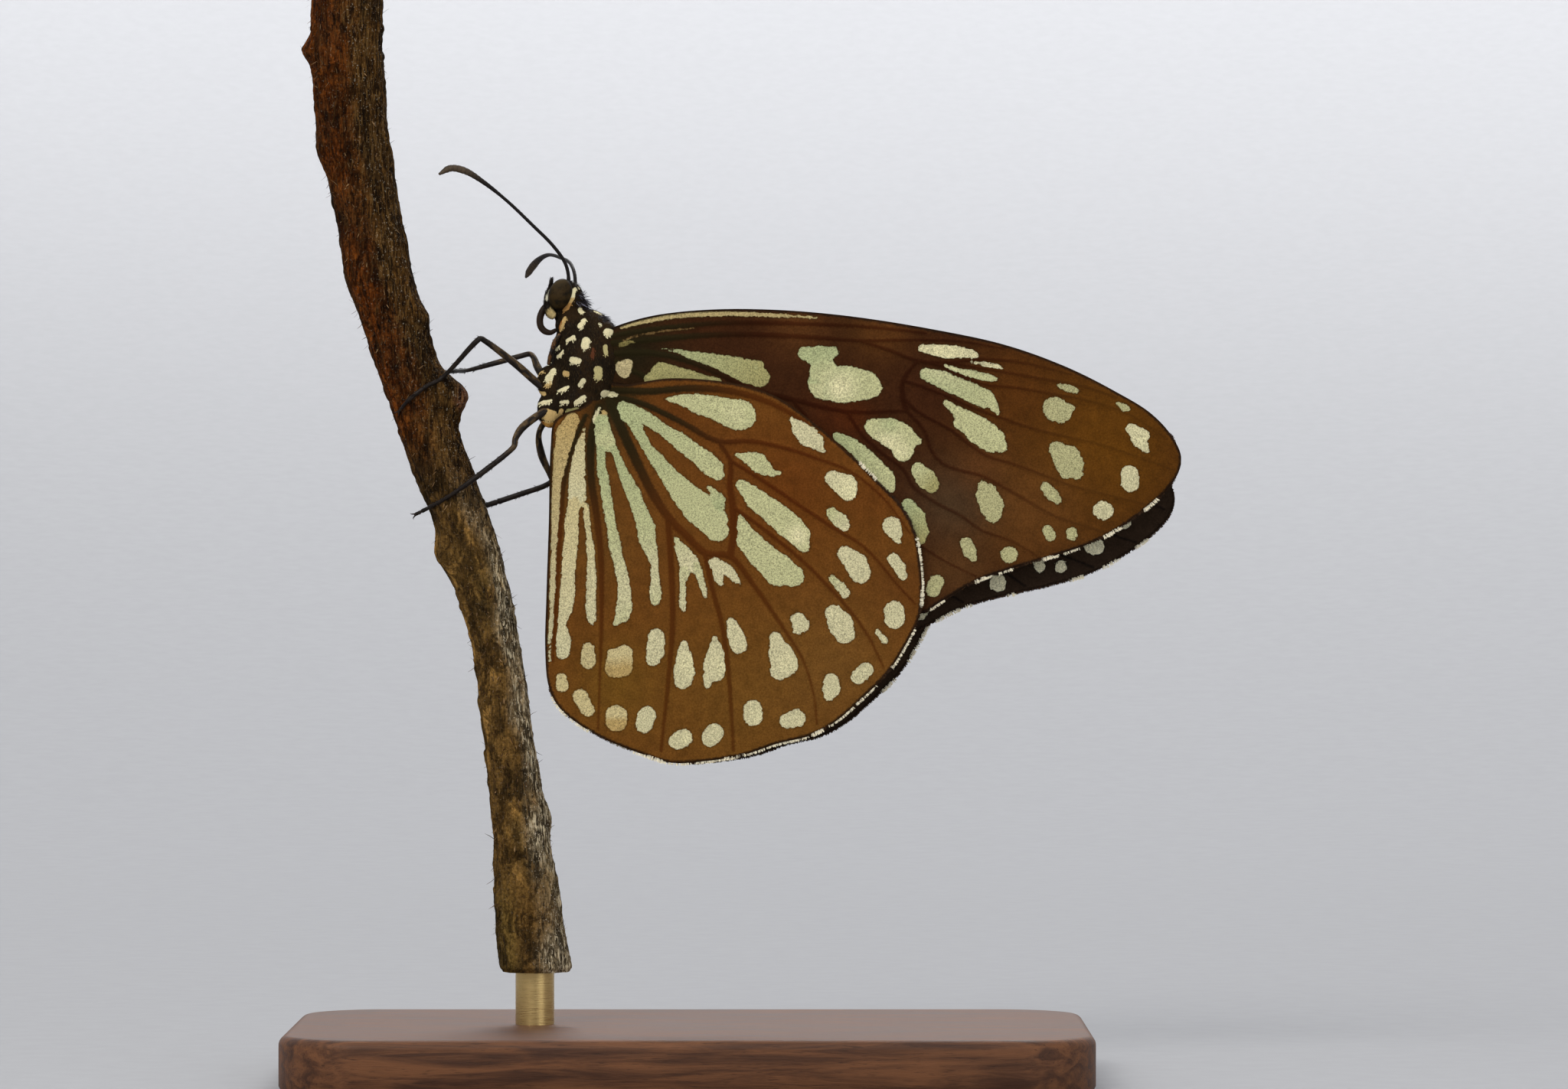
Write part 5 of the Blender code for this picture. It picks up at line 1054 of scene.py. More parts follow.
def make_fringe(name, border, from_point, to_point, middle, side, place, lines, mat, rng):
    """Short scales along the outer margin, white in dashes and dark between."""
    closed = np.concatenate([border, border[:1]])
    run = run_along(closed)
    start = run[np.linalg.norm(border - from_point, axis=1).argmin()]
    end = run[np.linalg.norm(border - to_point, axis=1).argmin()]
    count = int((end - start) / FRINGE_STEP)
    at = np.sort(rng.uniform(start, end, count))
    base = np.stack([np.interp(at, run, closed[:, k]) for k in (0, 1)], axis=1)
    ahead = np.stack([np.interp(at + FRINGE_AHEAD, run, closed[:, k]) for k in (0, 1)], axis=1)
    way = unit(ahead - base)
    out = np.stack([-way[:, 1], way[:, 0]], axis=1)
    if not inside((base - out * 0.3)[len(base) // 2:len(base) // 2 + 1], border)[0]:
        out = -out
    root = base - out * rng.uniform(0.08, 0.14, (count, 1))
    white = white_share(np.stack(place(base[:, 0], base[:, 1]), axis=1), lines)
    lean = rng.normal(0.0, 0.25, (count, 1))
    flat = out + way * lean
    face = rng.choice([-1.0, 1.0], count)
    y = middle(root[:, 0], root[:, 1]) + face * 0.05
    rx, rz = place(root[:, 0], root[:, 1])
    tx, tz = place(root[:, 0] + flat[:, 0], root[:, 1] + flat[:, 1])
    roots = np.stack([rx, side * y, rz], axis=1)
    ways = np.stack([tx - rx, np.zeros(count), tz - rz], axis=1)
    normals = np.stack([np.zeros(count), side * face, np.zeros(count)], axis=1)
    lengths = rng.uniform(0.22, 0.32, count) * (0.7 + 0.4 * white)
    lengths *= 1.0 - 0.75 * ease(WING_TIP_X - WING_TIP_FADE, WING_TIP_X, rx)
    tone = blend(blend(srgb(34, 24, 16), srgb(58, 38, 22), rng.random(count)), srgb(222, 212, 184), white)
    tone = tone * rng.uniform(0.85, 1.1, (count, 1))
    low, high = border.min(0), border.max(0)
    places = (root - low) / (high - low)
    widths = rng.uniform(0.05, 0.09, count)
    blades(name, roots, ways, normals, lengths, widths, tone, places, mat,
           tip=0.6, lift=rng.uniform(-0.1, 0.12, count))


def build_wings(rng):
    mats = [wing_material("wing_under", False), wing_material("wing_upper", True)]
    coat = coat_material("wing_fringe", 0.55)
    # For each wing: its drawing, its tones, its surface with a nudge off it, where its fringe starts and ends
    jobs = [
        ("forewing", FOREWING_OUTLINE, FOREWING_VEINS, FOREWING_MARKS, FOREWING_GROUND, FOREWING_PATCHES,
         COSTAL_LINE, forewing_middle, 0.2, turn_far_forewing, FOREWING_WHITE, FAR_FOREWING_WHITE,
         (39.6, 53.2), (19.2, 38.6), FOREWING_ROOT[1]),
        ("hindwing", HINDWING_OUTLINE, HINDWING_VEINS, HINDWING_MARKS, HINDWING_GROUND, HINDWING_PATCHES,
         None, hindwing_middle, -0.2, shift_far_hindwing, HINDWING_WHITE, FAR_HINDWING_WHITE,
         (13.6, 51.2), (-11.5, 32.4), HINDWING_ROOT[1]),
    ]
    for (kind, outline, veins, marks, ground, patches, thin, middle, nudge, far,
         near_white, far_white, first, last, root_height) in jobs:
        plan, tris, border = wing_plan(outline, veins, [thin] if thin else [])
        data = wing_values(plan, border, veins, marks, ground, patches, root_height, thin)

        def moved(x, z, middle=middle, nudge=nudge):
            return middle(x, z) + nudge

        for side, word in ((-1, "left"), (1, "right")):
            place, white = (stay, near_white) if side < 0 else (far, far_white)
            make_wing(f"{kind}_{word}_skin", plan, tris, data, moved, side, place, mats)
            make_fringe(f"{kind}_{word}_fringe", border, first, last, moved, side, place, white, coat, rng)


# Branch

PERCH_FOOT, PERCH_TOP = 9.0, 90.6
PERCH_LINE = np.array([
    (8.0, -12.6, 3.1), (12.0, -13.1, 2.9), (16.0, -13.5, 2.7), (20.0, -13.9, 2.4), (28.0, -14.9, 2.1),
    (36.0, -16.0, 2.0), (40.0, -17.0, 2.3), (45.0, -18.3, 2.4), (52.0, -21.0, 2.5), (59.0, -23.4, 2.55),
    (66.0, -25.6, 2.9), (70.0, -26.3, 2.7), (78.0, -27.75, 2.95), (85.0, -28.3, 3.0), (91.0, -28.2, 2.9),
])
PERCH_KNOTS = [
    (56.6, -12.0, 1.9, 1.9, 34.0), (43.2, 186.0, 0.75, 1.6, 40.0), (84.9, 182.0, 0.75, 0.95, 32.0),
    (76.5, 190.0, 0.35, 1.4, 35.0), (62.9, -15.0, 0.6, 1.1, 30.0), (31.0, 100.0, 0.6, 2.2, 45.0),
    (70.5, 75.0, 0.7, 2.0, 40.0), (21.5, 20.0, 0.35, 1.6, 40.0), (49.0, 120.0, 0.5, 1.8, 45.0),
]
FIBRES_ROUND = 34
BARK_SIDES, BARK_RINGS = 150, 560
BARK_OVERLAP = 0.15
LOOSE_FIBRES = 1800
SCAR_HEIGHT, SCAR_REACH, SCAR_TURN, SCAR_WIDTH = 56.2, 1.3, -12.0, 24.0
# Sides of the branch, in degrees round it: reddish, greyish and weathered
RED_SIDE, GREY_SIDE, PALE_SIDE = 222, -35, -20


def perch_axis(height):
    """Where the branch's middle is at a height, and its radius there."""
    return tuple(np.interp(height, PERCH_LINE[:, 0], PERCH_LINE[:, k]) for k in (1, 2))


def perch_radius(height, angle):
    """Radius of the branch with its knots, as in the solids."""
    radius = perch_axis(height)[1] + np.zeros_like(angle)
    for at, facing, rise, length, width in PERCH_KNOTS:
        off = (np.degrees(angle) - facing + 180.0) % 360.0 - 180.0
        radius = radius + rise * np.exp(-((height - at) / length) ** 2 - (off / width) ** 2)
    return radius


def bark_relief(height, angle):
    """Long ridges and furrows of the bark, with broken flakes, in millimetres."""
    turn = (angle % (2 * np.pi)) / (2 * np.pi)
    slow = 0.5 * noise(turn * 5, height * 0.12, 21, 5)
    ridges = noise(turn * FIBRES_ROUND + 3.0 * slow, height * 0.16, 22, FIBRES_ROUND)
    narrow = noise(turn * 90 + 4.0 * slow, height * 0.42, 23, 90)
    grit = noise(turn * 150, height * 2.6, 24, 150)
    lumps = noise(turn * 9, height * 0.55, 25, 9)
    flakes = np.maximum(0.0, noise(turn * 44, height * 0.9, 26, 44) - 0.45)
    return 0.12 * ridges + 0.07 * narrow + 0.05 * grit + 0.1 * lumps + 0.3 * flakes - 0.07


def build_branch(rng):
    sides, rings = BARK_SIDES, BARK_RINGS
    height = np.linspace(PERCH_FOOT - BARK_OVERLAP, PERCH_TOP, rings + 1)
    angle = np.arange(sides) * 2 * np.pi / sides
    hh, aa = np.meshgrid(height, angle, indexing="ij")
    radius = perch_radius(hh, aa) + bark_relief(hh, aa)
    radius = radius - 0.25 * ease(PERCH_TOP - 0.35, PERCH_TOP, hh)
    radius = radius - 0.25 * ease(PERCH_FOOT + 0.25, PERCH_FOOT - BARK_OVERLAP, hh)
    x = perch_axis(hh)[0] + radius * np.cos(aa)
    points = np.stack([x, radius * np.sin(aa), hh], axis=-1).reshape(-1, 3)
    turn = (aa % (2 * np.pi)) / (2 * np.pi)
    red_side, grey_side, pale_side = (np.cos(aa - math.radians(a)) for a in (RED_SIDE, GREY_SIDE, PALE_SIDE))
    orange = ease(0.35, 0.95, red_side + 0.35 * noise(turn * 6, hh * 0.1, 31, 6)) * ease(48.0, 56.0, hh)
    grey = ease(0.1, 0.9, grey_side + 0.6 * noise(turn * 7, hh * 0.12, 32, 7))
    low = ease(54.0, 38.0, hh + 4.0 * noise(turn * 4, hh * 0.12, 39, 4))
    worn = ease(0.45, 0.95, pale_side + 0.25 * noise(turn * 9, hh * 0.3, 38, 9))
    green = low * ease(-0.4, 0.6, noise(turn * 5, hh * 0.1, 33, 5))
    tone = blend(srgb(40, 25, 8), srgb(80, 37, 6), orange * 0.75)
    tone = blend(tone, srgb(58, 38, 14), grey * 0.7)
    tone = blend(tone, srgb(92, 68, 33), low * 0.75)
    tone = blend(tone, srgb(84, 70, 32), green * 0.5)
    tan = ease(0.1, 0.75, noise(turn * 8 + 3, hh * 0.3, 35, 8) + 0.5 * noise(turn * 20, hh * 0.9, 36, 20))
    tone = blend(tone, srgb(136, 102, 52), tan * (0.05 + 0.6 * low))
    dark = ease(-0.1, 0.7, noise(turn * 11, hh * 0.28, 34, 11) + 0.6 * noise(turn * 26, hh * 0.8, 37, 26))
    tone = blend(tone, srgb(22, 17, 8), dark * (0.45 + 0.2 * low))
    round_scar = (np.degrees(aa) - SCAR_TURN + 180) % 360 - 180
    scar = np.exp(-((hh - SCAR_HEIGHT) / SCAR_REACH) ** 2 - (round_scar / SCAR_WIDTH) ** 2)
    tone = blend(tone, srgb(78, 50, 34), ease(0.35, 0.7, scar))
    tone = blend(tone, srgb(112, 100, 78), low * worn * 0.6)
    pale = np.maximum(0.1 + 0.26 * grey * (1 - low), low * worn)
    fibrous = 1.0 - 0.7 * low * (1.0 - worn)
    values = {"tone": tone.reshape(-1, 3), "pale": pale.reshape(-1), "fibrous": fibrous.reshape(-1)}
    quads = ring_quads(sides, rings)
    make_piece("branch_skin", points, [quads], values, bark_material(), ("perch_branch",))
    caps = Build()
    for row, z, sign in ((0, PERCH_FOOT - BARK_OVERLAP, -1), (rings, PERCH_TOP, 1)):
        ring = points[row * sides:(row + 1) * sides]
        centre = ring.mean(0)
        shells = [centre + (ring - centre) * f for f in (0.999, 0.75, 0.5, 0.25)]
        cap = np.concatenate(shells + [centre[None]])
        for i in range(4):
            cap[i * sides:(i + 1) * sides, 2] = z - sign * 0.02
        faces, middle = ring_quads(sides, 3), fan(3 * sides, sides, 4 * sides)
        if sign < 0:
            faces, middle = faces[:, ::-1], middle[:, ::-1]
        caps.add(cap, faces, middle)
    caps.piece("branch_ends", end_grain_material(), "bark")
    make_bark_fibres(rng)


def make_bark_fibres(rng):
    """Loose fibres and flakes that stand off the bark here and there."""
    count = LOOSE_FIBRES
    height = rng.uniform(PERCH_FOOT + 1, PERCH_TOP - 1, count)
    angle = rng.uniform(0, 2 * np.pi, count)
    radius = perch_radius(height, angle) + bark_relief(height, angle) - 0.03
    centre = perch_axis(height)[0]
    out = np.stack([np.cos(angle), np.sin(angle), np.zeros(count)], axis=1)
    roots = np.stack([centre, np.zeros(count), height], axis=1) + out * radius[:, None]
    round_way = np.stack([-np.sin(angle), np.cos(angle), np.zeros(count)], axis=1)
    up = np.array([[0.0, 0.0, 1.0]]) * rng.choice([-1, 1], (count, 1))
    ways = up + round_way * rng.normal(0, 0.35, (count, 1))
    tone = blend(srgb(44, 27, 13), srgb(128, 100, 68), rng.random(count) ** 2)
    places = np.stack([angle / (2 * np.pi), (height - PERCH_FOOT) / (PERCH_TOP - PERCH_FOOT)], axis=1)
    lengths, widths = rng.uniform(0.15, 0.55, count), rng.uniform(0.04, 0.12, count)
    blades("branch_fibres", roots, ways, out, lengths, widths, tone, places, coat_material("bark_fibre", 0.8),
           tip=0.25, lift=rng.uniform(0.05, 0.9, count), curl=0.6)


# Body

THORAX_LOBES = [
    ((-8.35, 0.0, 59.4), (3.0, 2.35, 4.25), -4.0), ((-9.3, 0.0, 56.3), (2.75, 1.95, 2.3), 0.0),
    ((-9.75, 0.0, 62.15), (1.4, 1.45, 1.3), 20.0), ((-11.75, 0.95, 57.6), (0.85, 0.7, 1.35), 8.0),
    ((-11.55, 0.95, 55.2), (1.05, 0.74, 1.5), -4.0), ((-7.0, 1.0, 61.3), (0.9, 0.8, 1.3), 30.0),
    ((-10.6, 0.0, 59.9), (0.95, 0.45, 1.75), 10.0), ((-10.9, 0.6, 57.3), (1.2, 1.05, 2.1), 4.0),
]
HEAD_LOBES = [
    ((-9.95, 0.0, 64.5), (1.3, 1.4, 1.42), -10.0), ((-10.7, 0.0, 63.45), (0.62, 0.75, 0.95), 15.0),
    ((-10.98, 0.0, 63.72), (0.62, 0.85, 0.62), 0.0),
]
NECK_LOBES = [((-9.75, 0.0, 63.2), (1.15, 1.1, 0.9), 10.0), ((-9.15, 0.0, 63.85), (0.85, 0.95, 0.8), 0.0)]
ABDOMEN_START, ABDOMEN_END = (-9.15, 54.7), (-9.8, 36.4)
ABDOMEN_RADII = (1.5, 1.32)
ABDOMEN_SEGMENTS = 8
ABDOMEN_PROFILE = [(0.0, 0.78), (0.12, 0.95), (0.4, 1.0), (0.7, 0.9), (0.88, 0.66), (1.0, 0.3)]
COAT_DEPTH = 0.06
BODY_AXIS_X, BODY_LOW, BODY_HIGH = -9.4, 36.0, 67.0
COAT_TUFTS = 30000
SKIN_VOXEL, SKIN_SOFTENING = 0.085, 22
EYE_CENTRE = (-10.62, 1.1, 64.74)
EYE_RADII = (0.96, 0.74, 1.3)
EYE_LEAN = 20.0

WHITE, BUFF, RUST = srgb(206, 196, 156), srgb(184, 155, 101), srgb(140, 92, 46)
AMBER, EMBER, STRAW = srgb(174, 130, 74), srgb(82, 46, 27), srgb(176, 164, 114)
# Pale patches of the body's side: tone, chain of (x, z, half width)
BODY_MARKS = [
    (WHITE, [(-9.38, 65.2, .15), (-9.47, 64.94, .17), (-9.6, 64.46, .17)]),
    (BUFF, [(-9.62, 64.38, .17), (-9.82, 64.05, .18)]), (AMBER, [(-9.86, 64.0, .18), (-10.1, 63.6, .18),
                                                                 (-10.34, 63.4, .11)]),
    (WHITE, [(-9.12, 65.25, .13)]), (WHITE, [(-9.6, 65.68, .09)]),
    (WHITE, [(-9.02, 63.42, .2), (-8.82, 63.24, .2)]), (WHITE, [(-7.74, 63.32, .17), (-7.4, 63.15, .17)]),
    (WHITE, [(-7.38, 62.27, .17)]), (WHITE, [(-8.66, 62.56, .2), (-9.02, 62.05, .2)]),
    (WHITE, [(-6.75, 61.6, .32), (-6.42, 61.55, .28)]),
    (BUFF, [(-10.24, 62.8, .15), (-10.42, 62.2, .19), (-10.6, 61.7, .1)]),
    (RUST, [(-10.5, 62.5, .07), (-10.68, 61.9, .07)]), (RUST, [(-11.5, 62.62, .1), (-11.05, 62.25, .12)]),
    (WHITE, [(-10.02, 60.92, .15), (-9.55, 61.12, .19)]), (WHITE, [(-8.45, 60.8, .36), (-8.58, 60.5, .34)]),
    (WHITE, [(-11.0, 60.1, .08), (-10.72, 60.45, .1)]),
    (WHITE, [(-10.36, 60.05, .07), (-10.68, 59.66, .17), (-10.88, 59.52, .12)]),
    (WHITE, [(-9.6, 59.32, .27), (-9.12, 59.18, .24)]), (EMBER, [(-7.88, 60.2, .12), (-7.93, 59.5, .13)]),
    (STRAW, [(-6.88, 60.35, .2), (-6.82, 59.85, .2)]), (STRAW, [(-7.48, 58.48, .34), (-7.42, 57.95, .31)]),
    (BUFF, [(-10.2, 58.24, .23), (-10.06, 58.14, .23)]), (WHITE, [(-11.18, 58.4, .22), (-11.55, 57.75, .3)]),
    (BUFF, [(-11.5, 57.35, .2), (-11.78, 57.2, .14)]), (WHITE, [(-11.6, 58.85, .08), (-11.4, 59.1, .08)]),
    (BUFF, [(-12.4, 58.1, .08), (-12.02, 58.4, .08)]), (WHITE, [(-8.66, 57.6, .19), (-9.0, 57.2, .18)]),
    (WHITE, [(-10.75, 56.74, .1), (-10.2, 56.95, .18), (-9.98, 57.02, .12)]),
    (WHITE, [(-7.0, 56.55, .32), (-6.3, 56.45, .26)]), (BUFF, [(-12.5, 56.6, .16), (-11.95, 56.5, .18)]),
    (WHITE, [(-8.62, 56.2, .2), (-9.2, 55.78, .22)]), (WHITE, [(-10.6, 55.76, .13), (-10.05, 55.84, .15)]),
    (WHITE, [(-12.42, 55.68, .1), (-11.9, 55.82, .15), (-11.35, 55.97, .09)]),
    (BUFF, [(-11.65, 54.75, .52), (-11.3, 54.7, .45)]), (RUST, [(-12.1, 54.15, .2), (-11.3, 53.85, .22)]),
    (BUFF, [(-10.5, 55.15, .17), (-10.8, 54.5, .2)]), (WHITE, [(-7.45, 55.2, .18), (-7.8, 54.35, .18)]),
    (BUFF, [(-7.05, 54.99, .26)]), (OLIVE, [(-9.9, 55.1, .2), (-9.2, 55.2, .16)]),
]


def ball(centre, radii, lean, segments=56, rings=40):
    """Points and faces of a leaning ellipsoid."""
    u = np.arange(segments) * 2 * np.pi / segments
    v = np.linspace(0, np.pi, rings + 1)[1:-1]
    uu, vv = np.meshgrid(u, v)
    p = np.stack([np.cos(uu) * np.sin(vv), np.sin(uu) * np.sin(vv), np.cos(vv)], axis=-1).reshape(-1, 3)
    p = np.concatenate([p, [[0, 0, 1], [0, 0, -1]]]) * np.asarray(radii)
    a = math.radians(lean)
    x = p[:, 0] * math.cos(a) + p[:, 2] * math.sin(a)
    z = -p[:, 0] * math.sin(a) + p[:, 2] * math.cos(a)
    p = np.stack([x, p[:, 1], z], axis=1) + np.asarray(centre)
    k = np.arange(segments)
    n = (k + 1) % segments
    top, bottom, end = (rings - 1) * segments, (rings - 1) * segments + 1, (rings - 2) * segments
    tris = np.concatenate([fan(0, segments, top), np.stack([end + n, end + k, np.full(segments, bottom)], 1)])
    return p, ring_quads(segments, rings - 2)[:, ::-1], tris


def abdomen_rings():
    """The abdomen as a row of rings, each segment a little overhanging the next."""
    count = ABDOMEN_SEGMENTS * 14
    share = np.linspace(0, 1, count + 1)
    size = np.interp(share, *np.array(ABDOMEN_PROFILE).T)
    phase = (share * ABDOMEN_SEGMENTS) % 1.0
    size = size * (0.95 + 0.05 * ease(0.0, 0.25, phase)) - 0.05 * ease(0.86, 1.0, phase)
    start, end = np.array(ABDOMEN_START), np.array(ABDOMEN_END)
    line = start + (end - start) * share[:, None]
    path = np.stack([line[:, 0], np.zeros(count + 1), line[:, 1]], axis=1)
    radii = np.stack([ABDOMEN_RADII[1] * size, ABDOMEN_RADII[0] * size], axis=1)
    return sweep(path, radii, 48)


def body_shape():
    """One closed skin for thorax, neck, head and abdomen, remeshed and softened where they meet."""
    raw = Build()
    for centre, radii, lean in THORAX_LOBES + HEAD_LOBES + NECK_LOBES:
        for sign in (1,) if centre[1] == 0 else (1, -1):
            place = (centre[0], centre[1] * sign, centre[2])
            raw.add(*ball(place, [r - COAT_DEPTH for r in radii], lean))
    points, quads, tris, _, _ = abdomen_rings()
    raw.add(points, quads, tris)
    mesh = make_mesh("raw", np.concatenate(raw.points), [np.concatenate(f) for f in raw.faces.values()])
    obj = add_object("raw", mesh)
    remesh = obj.modifiers.new("remesh", "REMESH")
    remesh.mode = "VOXEL"
    remesh.voxel_size = SKIN_VOXEL
    soften = obj.modifiers.new("soften", "SMOOTH")
    soften.factor = 0.5
    soften.iterations = SKIN_SOFTENING
    graph = bpy.context.evaluated_depsgraph_get()
    done = bpy.data.meshes.new_from_object(obj.evaluated_get(graph))
    bpy.data.objects.remove(obj, do_unlink=True)
    bpy.data.meshes.remove(mesh)
    count = len(done.vertices)
    points = np.zeros(count * 3, np.float32)
    done.vertices.foreach_get("co", points)
    normals = np.zeros(count * 3, np.float32)
    done.vertices.foreach_get("normal", normals)
    done.calc_loop_triangles()
    tris = np.zeros(len(done.loop_triangles) * 3, np.int32)
    done.loop_triangles.foreach_get("vertices", tris)
    bpy.data.meshes.remove(done)
    return points.reshape(-1, 3).astype(float), normals.reshape(-1, 3).astype(float), tris.reshape(-1, 3)


def on_skin(points, normals, x, z):
    """The near side's skin point seen at (x, z)."""
    near = (points[:, 1] < 0.05) & (normals[:, 1] < -0.08)
    index = np.flatnonzero(near)
    gap = np.hypot(points[index, 0] - x, points[index, 2] - z)
    return points[index[gap.argmin()]]


def body_marks(points, normals):
    """Distance to the nearest pale patch on either side, and its tone."""
    mirrored = points * np.array([1.0, -1.0, 1.0])
    mark = np.full(len(points), FAR_OFF)
    tone = np.broadcast_to(WHITE, (len(points), 3)).copy()
    for colour, chain in BODY_MARKS:
        spots = [(on_skin(points, normals, x, z), r) for x, z, r in chain]
        if len(spots) == 1:
            spots = spots * 2
        for (a, ra), (b, rb) in zip(spots, spots[1:]):
            way = b - a
            size = max(way.dot(way), 1e-9)
            for where in (points, mirrored):
                t = np.clip(((where - a) @ way) / size, 0, 1)
                gap = np.linalg.norm(where - a - way * t[:, None], axis=1) - (ra + (rb - ra) * t)
                closer = gap < mark
                tone[closer] = colour
                mark = np.minimum(mark, gap)
    return mark, tone


def abdomen_marks(points, mark, tone):
    """Ochre belly patches and a row of pale side spots on the abdomen."""
    start, end = np.array(ABDOMEN_START), np.array(ABDOMEN_END)
    share = (start[1] - points[:, 2]) / (start[1] - end[1])
    phase = (share * ABDOMEN_SEGMENTS) % 1.0
    belly = np.arctan2(np.abs(points[:, 1]), -(points[:, 0] - start[0]))
    side_spot = np.hypot((phase - 0.5) * 2.2, (belly - 1.35) * 1.5) - 0.42
    belly_spot = np.hypot((phase - 0.5) * 2.2, (belly - 0.45) * 1.5) - 0.62
    here = (share > 0.03) & (share < 0.97) & (points[:, 2] < 54.2)
    for spot, colour in ((side_spot, WHITE), (belly_spot, srgb(182, 134, 66))):
        closer = here & (spot < mark)
        tone[closer] = colour
        mark = np.where(here, np.minimum(mark, spot), mark)
    return mark, tone


def unwrap(points):
    """Place on an unrolled body: turn round its long axis, then height."""
    turn = np.arctan2(points[:, 1], points[:, 0] - BODY_AXIS_X) / (2 * np.pi) + 0.5
    return np.stack([turn, (points[:, 2] - BODY_LOW) / (BODY_HIGH - BODY_LOW)], axis=1)


def coat_way(points):
    """Which way the coat lies: backwards along the body, out towards the wing roots on the flanks."""
    way = np.zeros_like(points)
    way[:, 2] = -1.0
    way[:, 0] = 0.35 * ease(57.0, 62.0, points[:, 2]) - 0.1
    way[:, 1] = 0.15 * np.sign(points[:, 1])
    return way


def build_body(rng):
    points, normals, tris = body_shape()
    mark, mark_tone = body_marks(points, normals)
    mark, mark_tone = abdomen_marks(points, mark, mark_tone)
    low_abdomen = ease(55.0, 52.0, points[:, 2])
    tone = blend(srgb(27, 20, 11), srgb(42, 32, 20), low_abdomen)
    brown = ease(0.1, 0.7, noise(points[:, 0] * 0.7, points[:, 2] * 0.7, 41))
    tone = blend(tone, srgb(44, 30, 15), brown * 0.6)
    values = {"tone": tone, "mark": mark, "mark_tone": mark_tone}
    make_piece("body_skin", points, [tris], values, skin_material(),
               ("thorax", "head", "abdomen"))
    coat = coat_material("body_coat", 0.5)
    count = COAT_TUFTS
    pick, share = scatter(rng, points, tris, count)
    place = at_places(points, tris, pick, share)
    out = unit(at_places(normals, tris, pick, share))
    gap = at_places(mark, tris, pick, share) + rng.normal(0, 0.02, count)
    pale = at_places(mark_tone, tris, pick, share)
    on_mark = gap < 0.02
    eyes = [np.array([EYE_CENTRE[0], s * EYE_CENTRE[1], EYE_CENTRE[2]]) for s in (-1, 1)]
    reach = np.array(EYE_RADII) + 0.05
    eye_gap = np.minimum(*[np.linalg.norm((place - eye) / reach, axis=1) for eye in eyes])
    keep = eye_gap > 1.0
    dark = blend(srgb(17, 12, 7), srgb(54, 42, 24), rng.random(count) ** 2)
    tint = np.where(on_mark[:, None], pale * rng.uniform(0.85, 1.15, (count, 1)), dark)
    head = ease(62.8, 63.6, place[:, 2])
    length = rng.uniform(0.2, 0.42, count) * (1 - 0.45 * head) * np.where(on_mark, 0.7, ease(-0.1, 0.4, gap))
    wide = np.where(on_mark, rng.uniform(0.06, 0.1, count), rng.uniform(0.03, 0.055, count))
    way = coat_way(place) + rng.normal(0, 0.28, (count, 3))
    half = np.arange(count) % 2 == 0
    for name, chosen in (("coat_a", keep & half), ("coat_b", keep & ~half)):
        at, up = place[chosen], out[chosen]
        blades("body_" + name, at - up * 0.02, way[chosen], up, length[chosen], wide[chosen], tint[chosen],
               unwrap(at), coat, tip=0.35, lift=rng.uniform(0.08, 0.3, chosen.sum()), curl=-0.3)
    long_hair(rng, points, normals, tris, coat)


def long_hair(rng, points, normals, tris, mat):
    """Longer soft hair, dark with a few pale ones, on the nape, the back and the crown."""
    centre = points[tris].mean(1)
    facing = normals[tris].mean(1)

    def about(x, z, reach_x, reach_z):
        return np.exp(-(((centre[:, 0] - x) / reach_x) ** 2 + ((centre[:, 2] - z) / reach_z) ** 2))

    nape = about(-8.6, 64.3, 0.6, 0.6) * ease(0.1, 0.5, facing[:, 0])
    back = about(-7.0, 62.8, 0.6, 0.7) * ease(0.2, 0.55, facing[:, 0])
    crown = about(-9.6, 65.8, 0.8, 0.4) * 0.5
    for name, weight, count, colours, size, stand in (
            ("nape", nape, 150, (srgb(18, 15, 20), srgb(120, 118, 132)), (0.3, 0.62), 0.8),
            ("back", back, 170, (srgb(18, 15, 20), srgb(110, 108, 122)), (0.22, 0.46), 0.7),
            ("crown", crown, 260, (srgb(22, 17, 10), srgb(58, 47, 32)), (0.15, 0.32), 0.7)):
        pick, share = scatter(rng, points, tris, count, weight)
        place = at_places(points, tris, pick, share)
        out = unit(at_places(normals, tris, pick, share))
        way = np.array([0.8, 0.0, -0.35]) + rng.normal(0, 0.3, (count, 3))
        tone = blend(colours[0], colours[1], rng.random(count) ** 4)
        lengths, widths = rng.uniform(*size, count), rng.uniform(0.035, 0.07, count)
        lift = rng.uniform(stand * 0.5, stand * 1.4, count)
        blades("hair_" + name, place - out * 0.03, way, out, lengths, widths, tone, unwrap(place), mat,
               tip=0.15, lift=lift, curl=-0.15)


def build_eyes():
    mat = eye_material()
    for side, word in ((-1, "left"), (1, "right")):
        centre = (EYE_CENTRE[0], EYE_CENTRE[1] * side, EYE_CENTRE[2])
        points, quads, tris = ball(centre, EYE_RADII, EYE_LEAN, 96, 64)
        # Painted sheen over the top and front of each eye.
        sky_light = ease(0.2, 1.0, (points[:, 2] - centre[2]) / EYE_RADII[2] - 0.25 * (points[:, 0] - centre[0]))
        rim = ease(0.42, 0.15, (points[:, 1] * side - EYE_CENTRE[1]) / EYE_RADII[1])
        make_piece(f"eye_{word}_lens", points, [quads, tris], {"sky_light": sky_light, "rim": rim}, mat,
                   (f"eye_{word}",))


# Feelers, mouth parts and legs

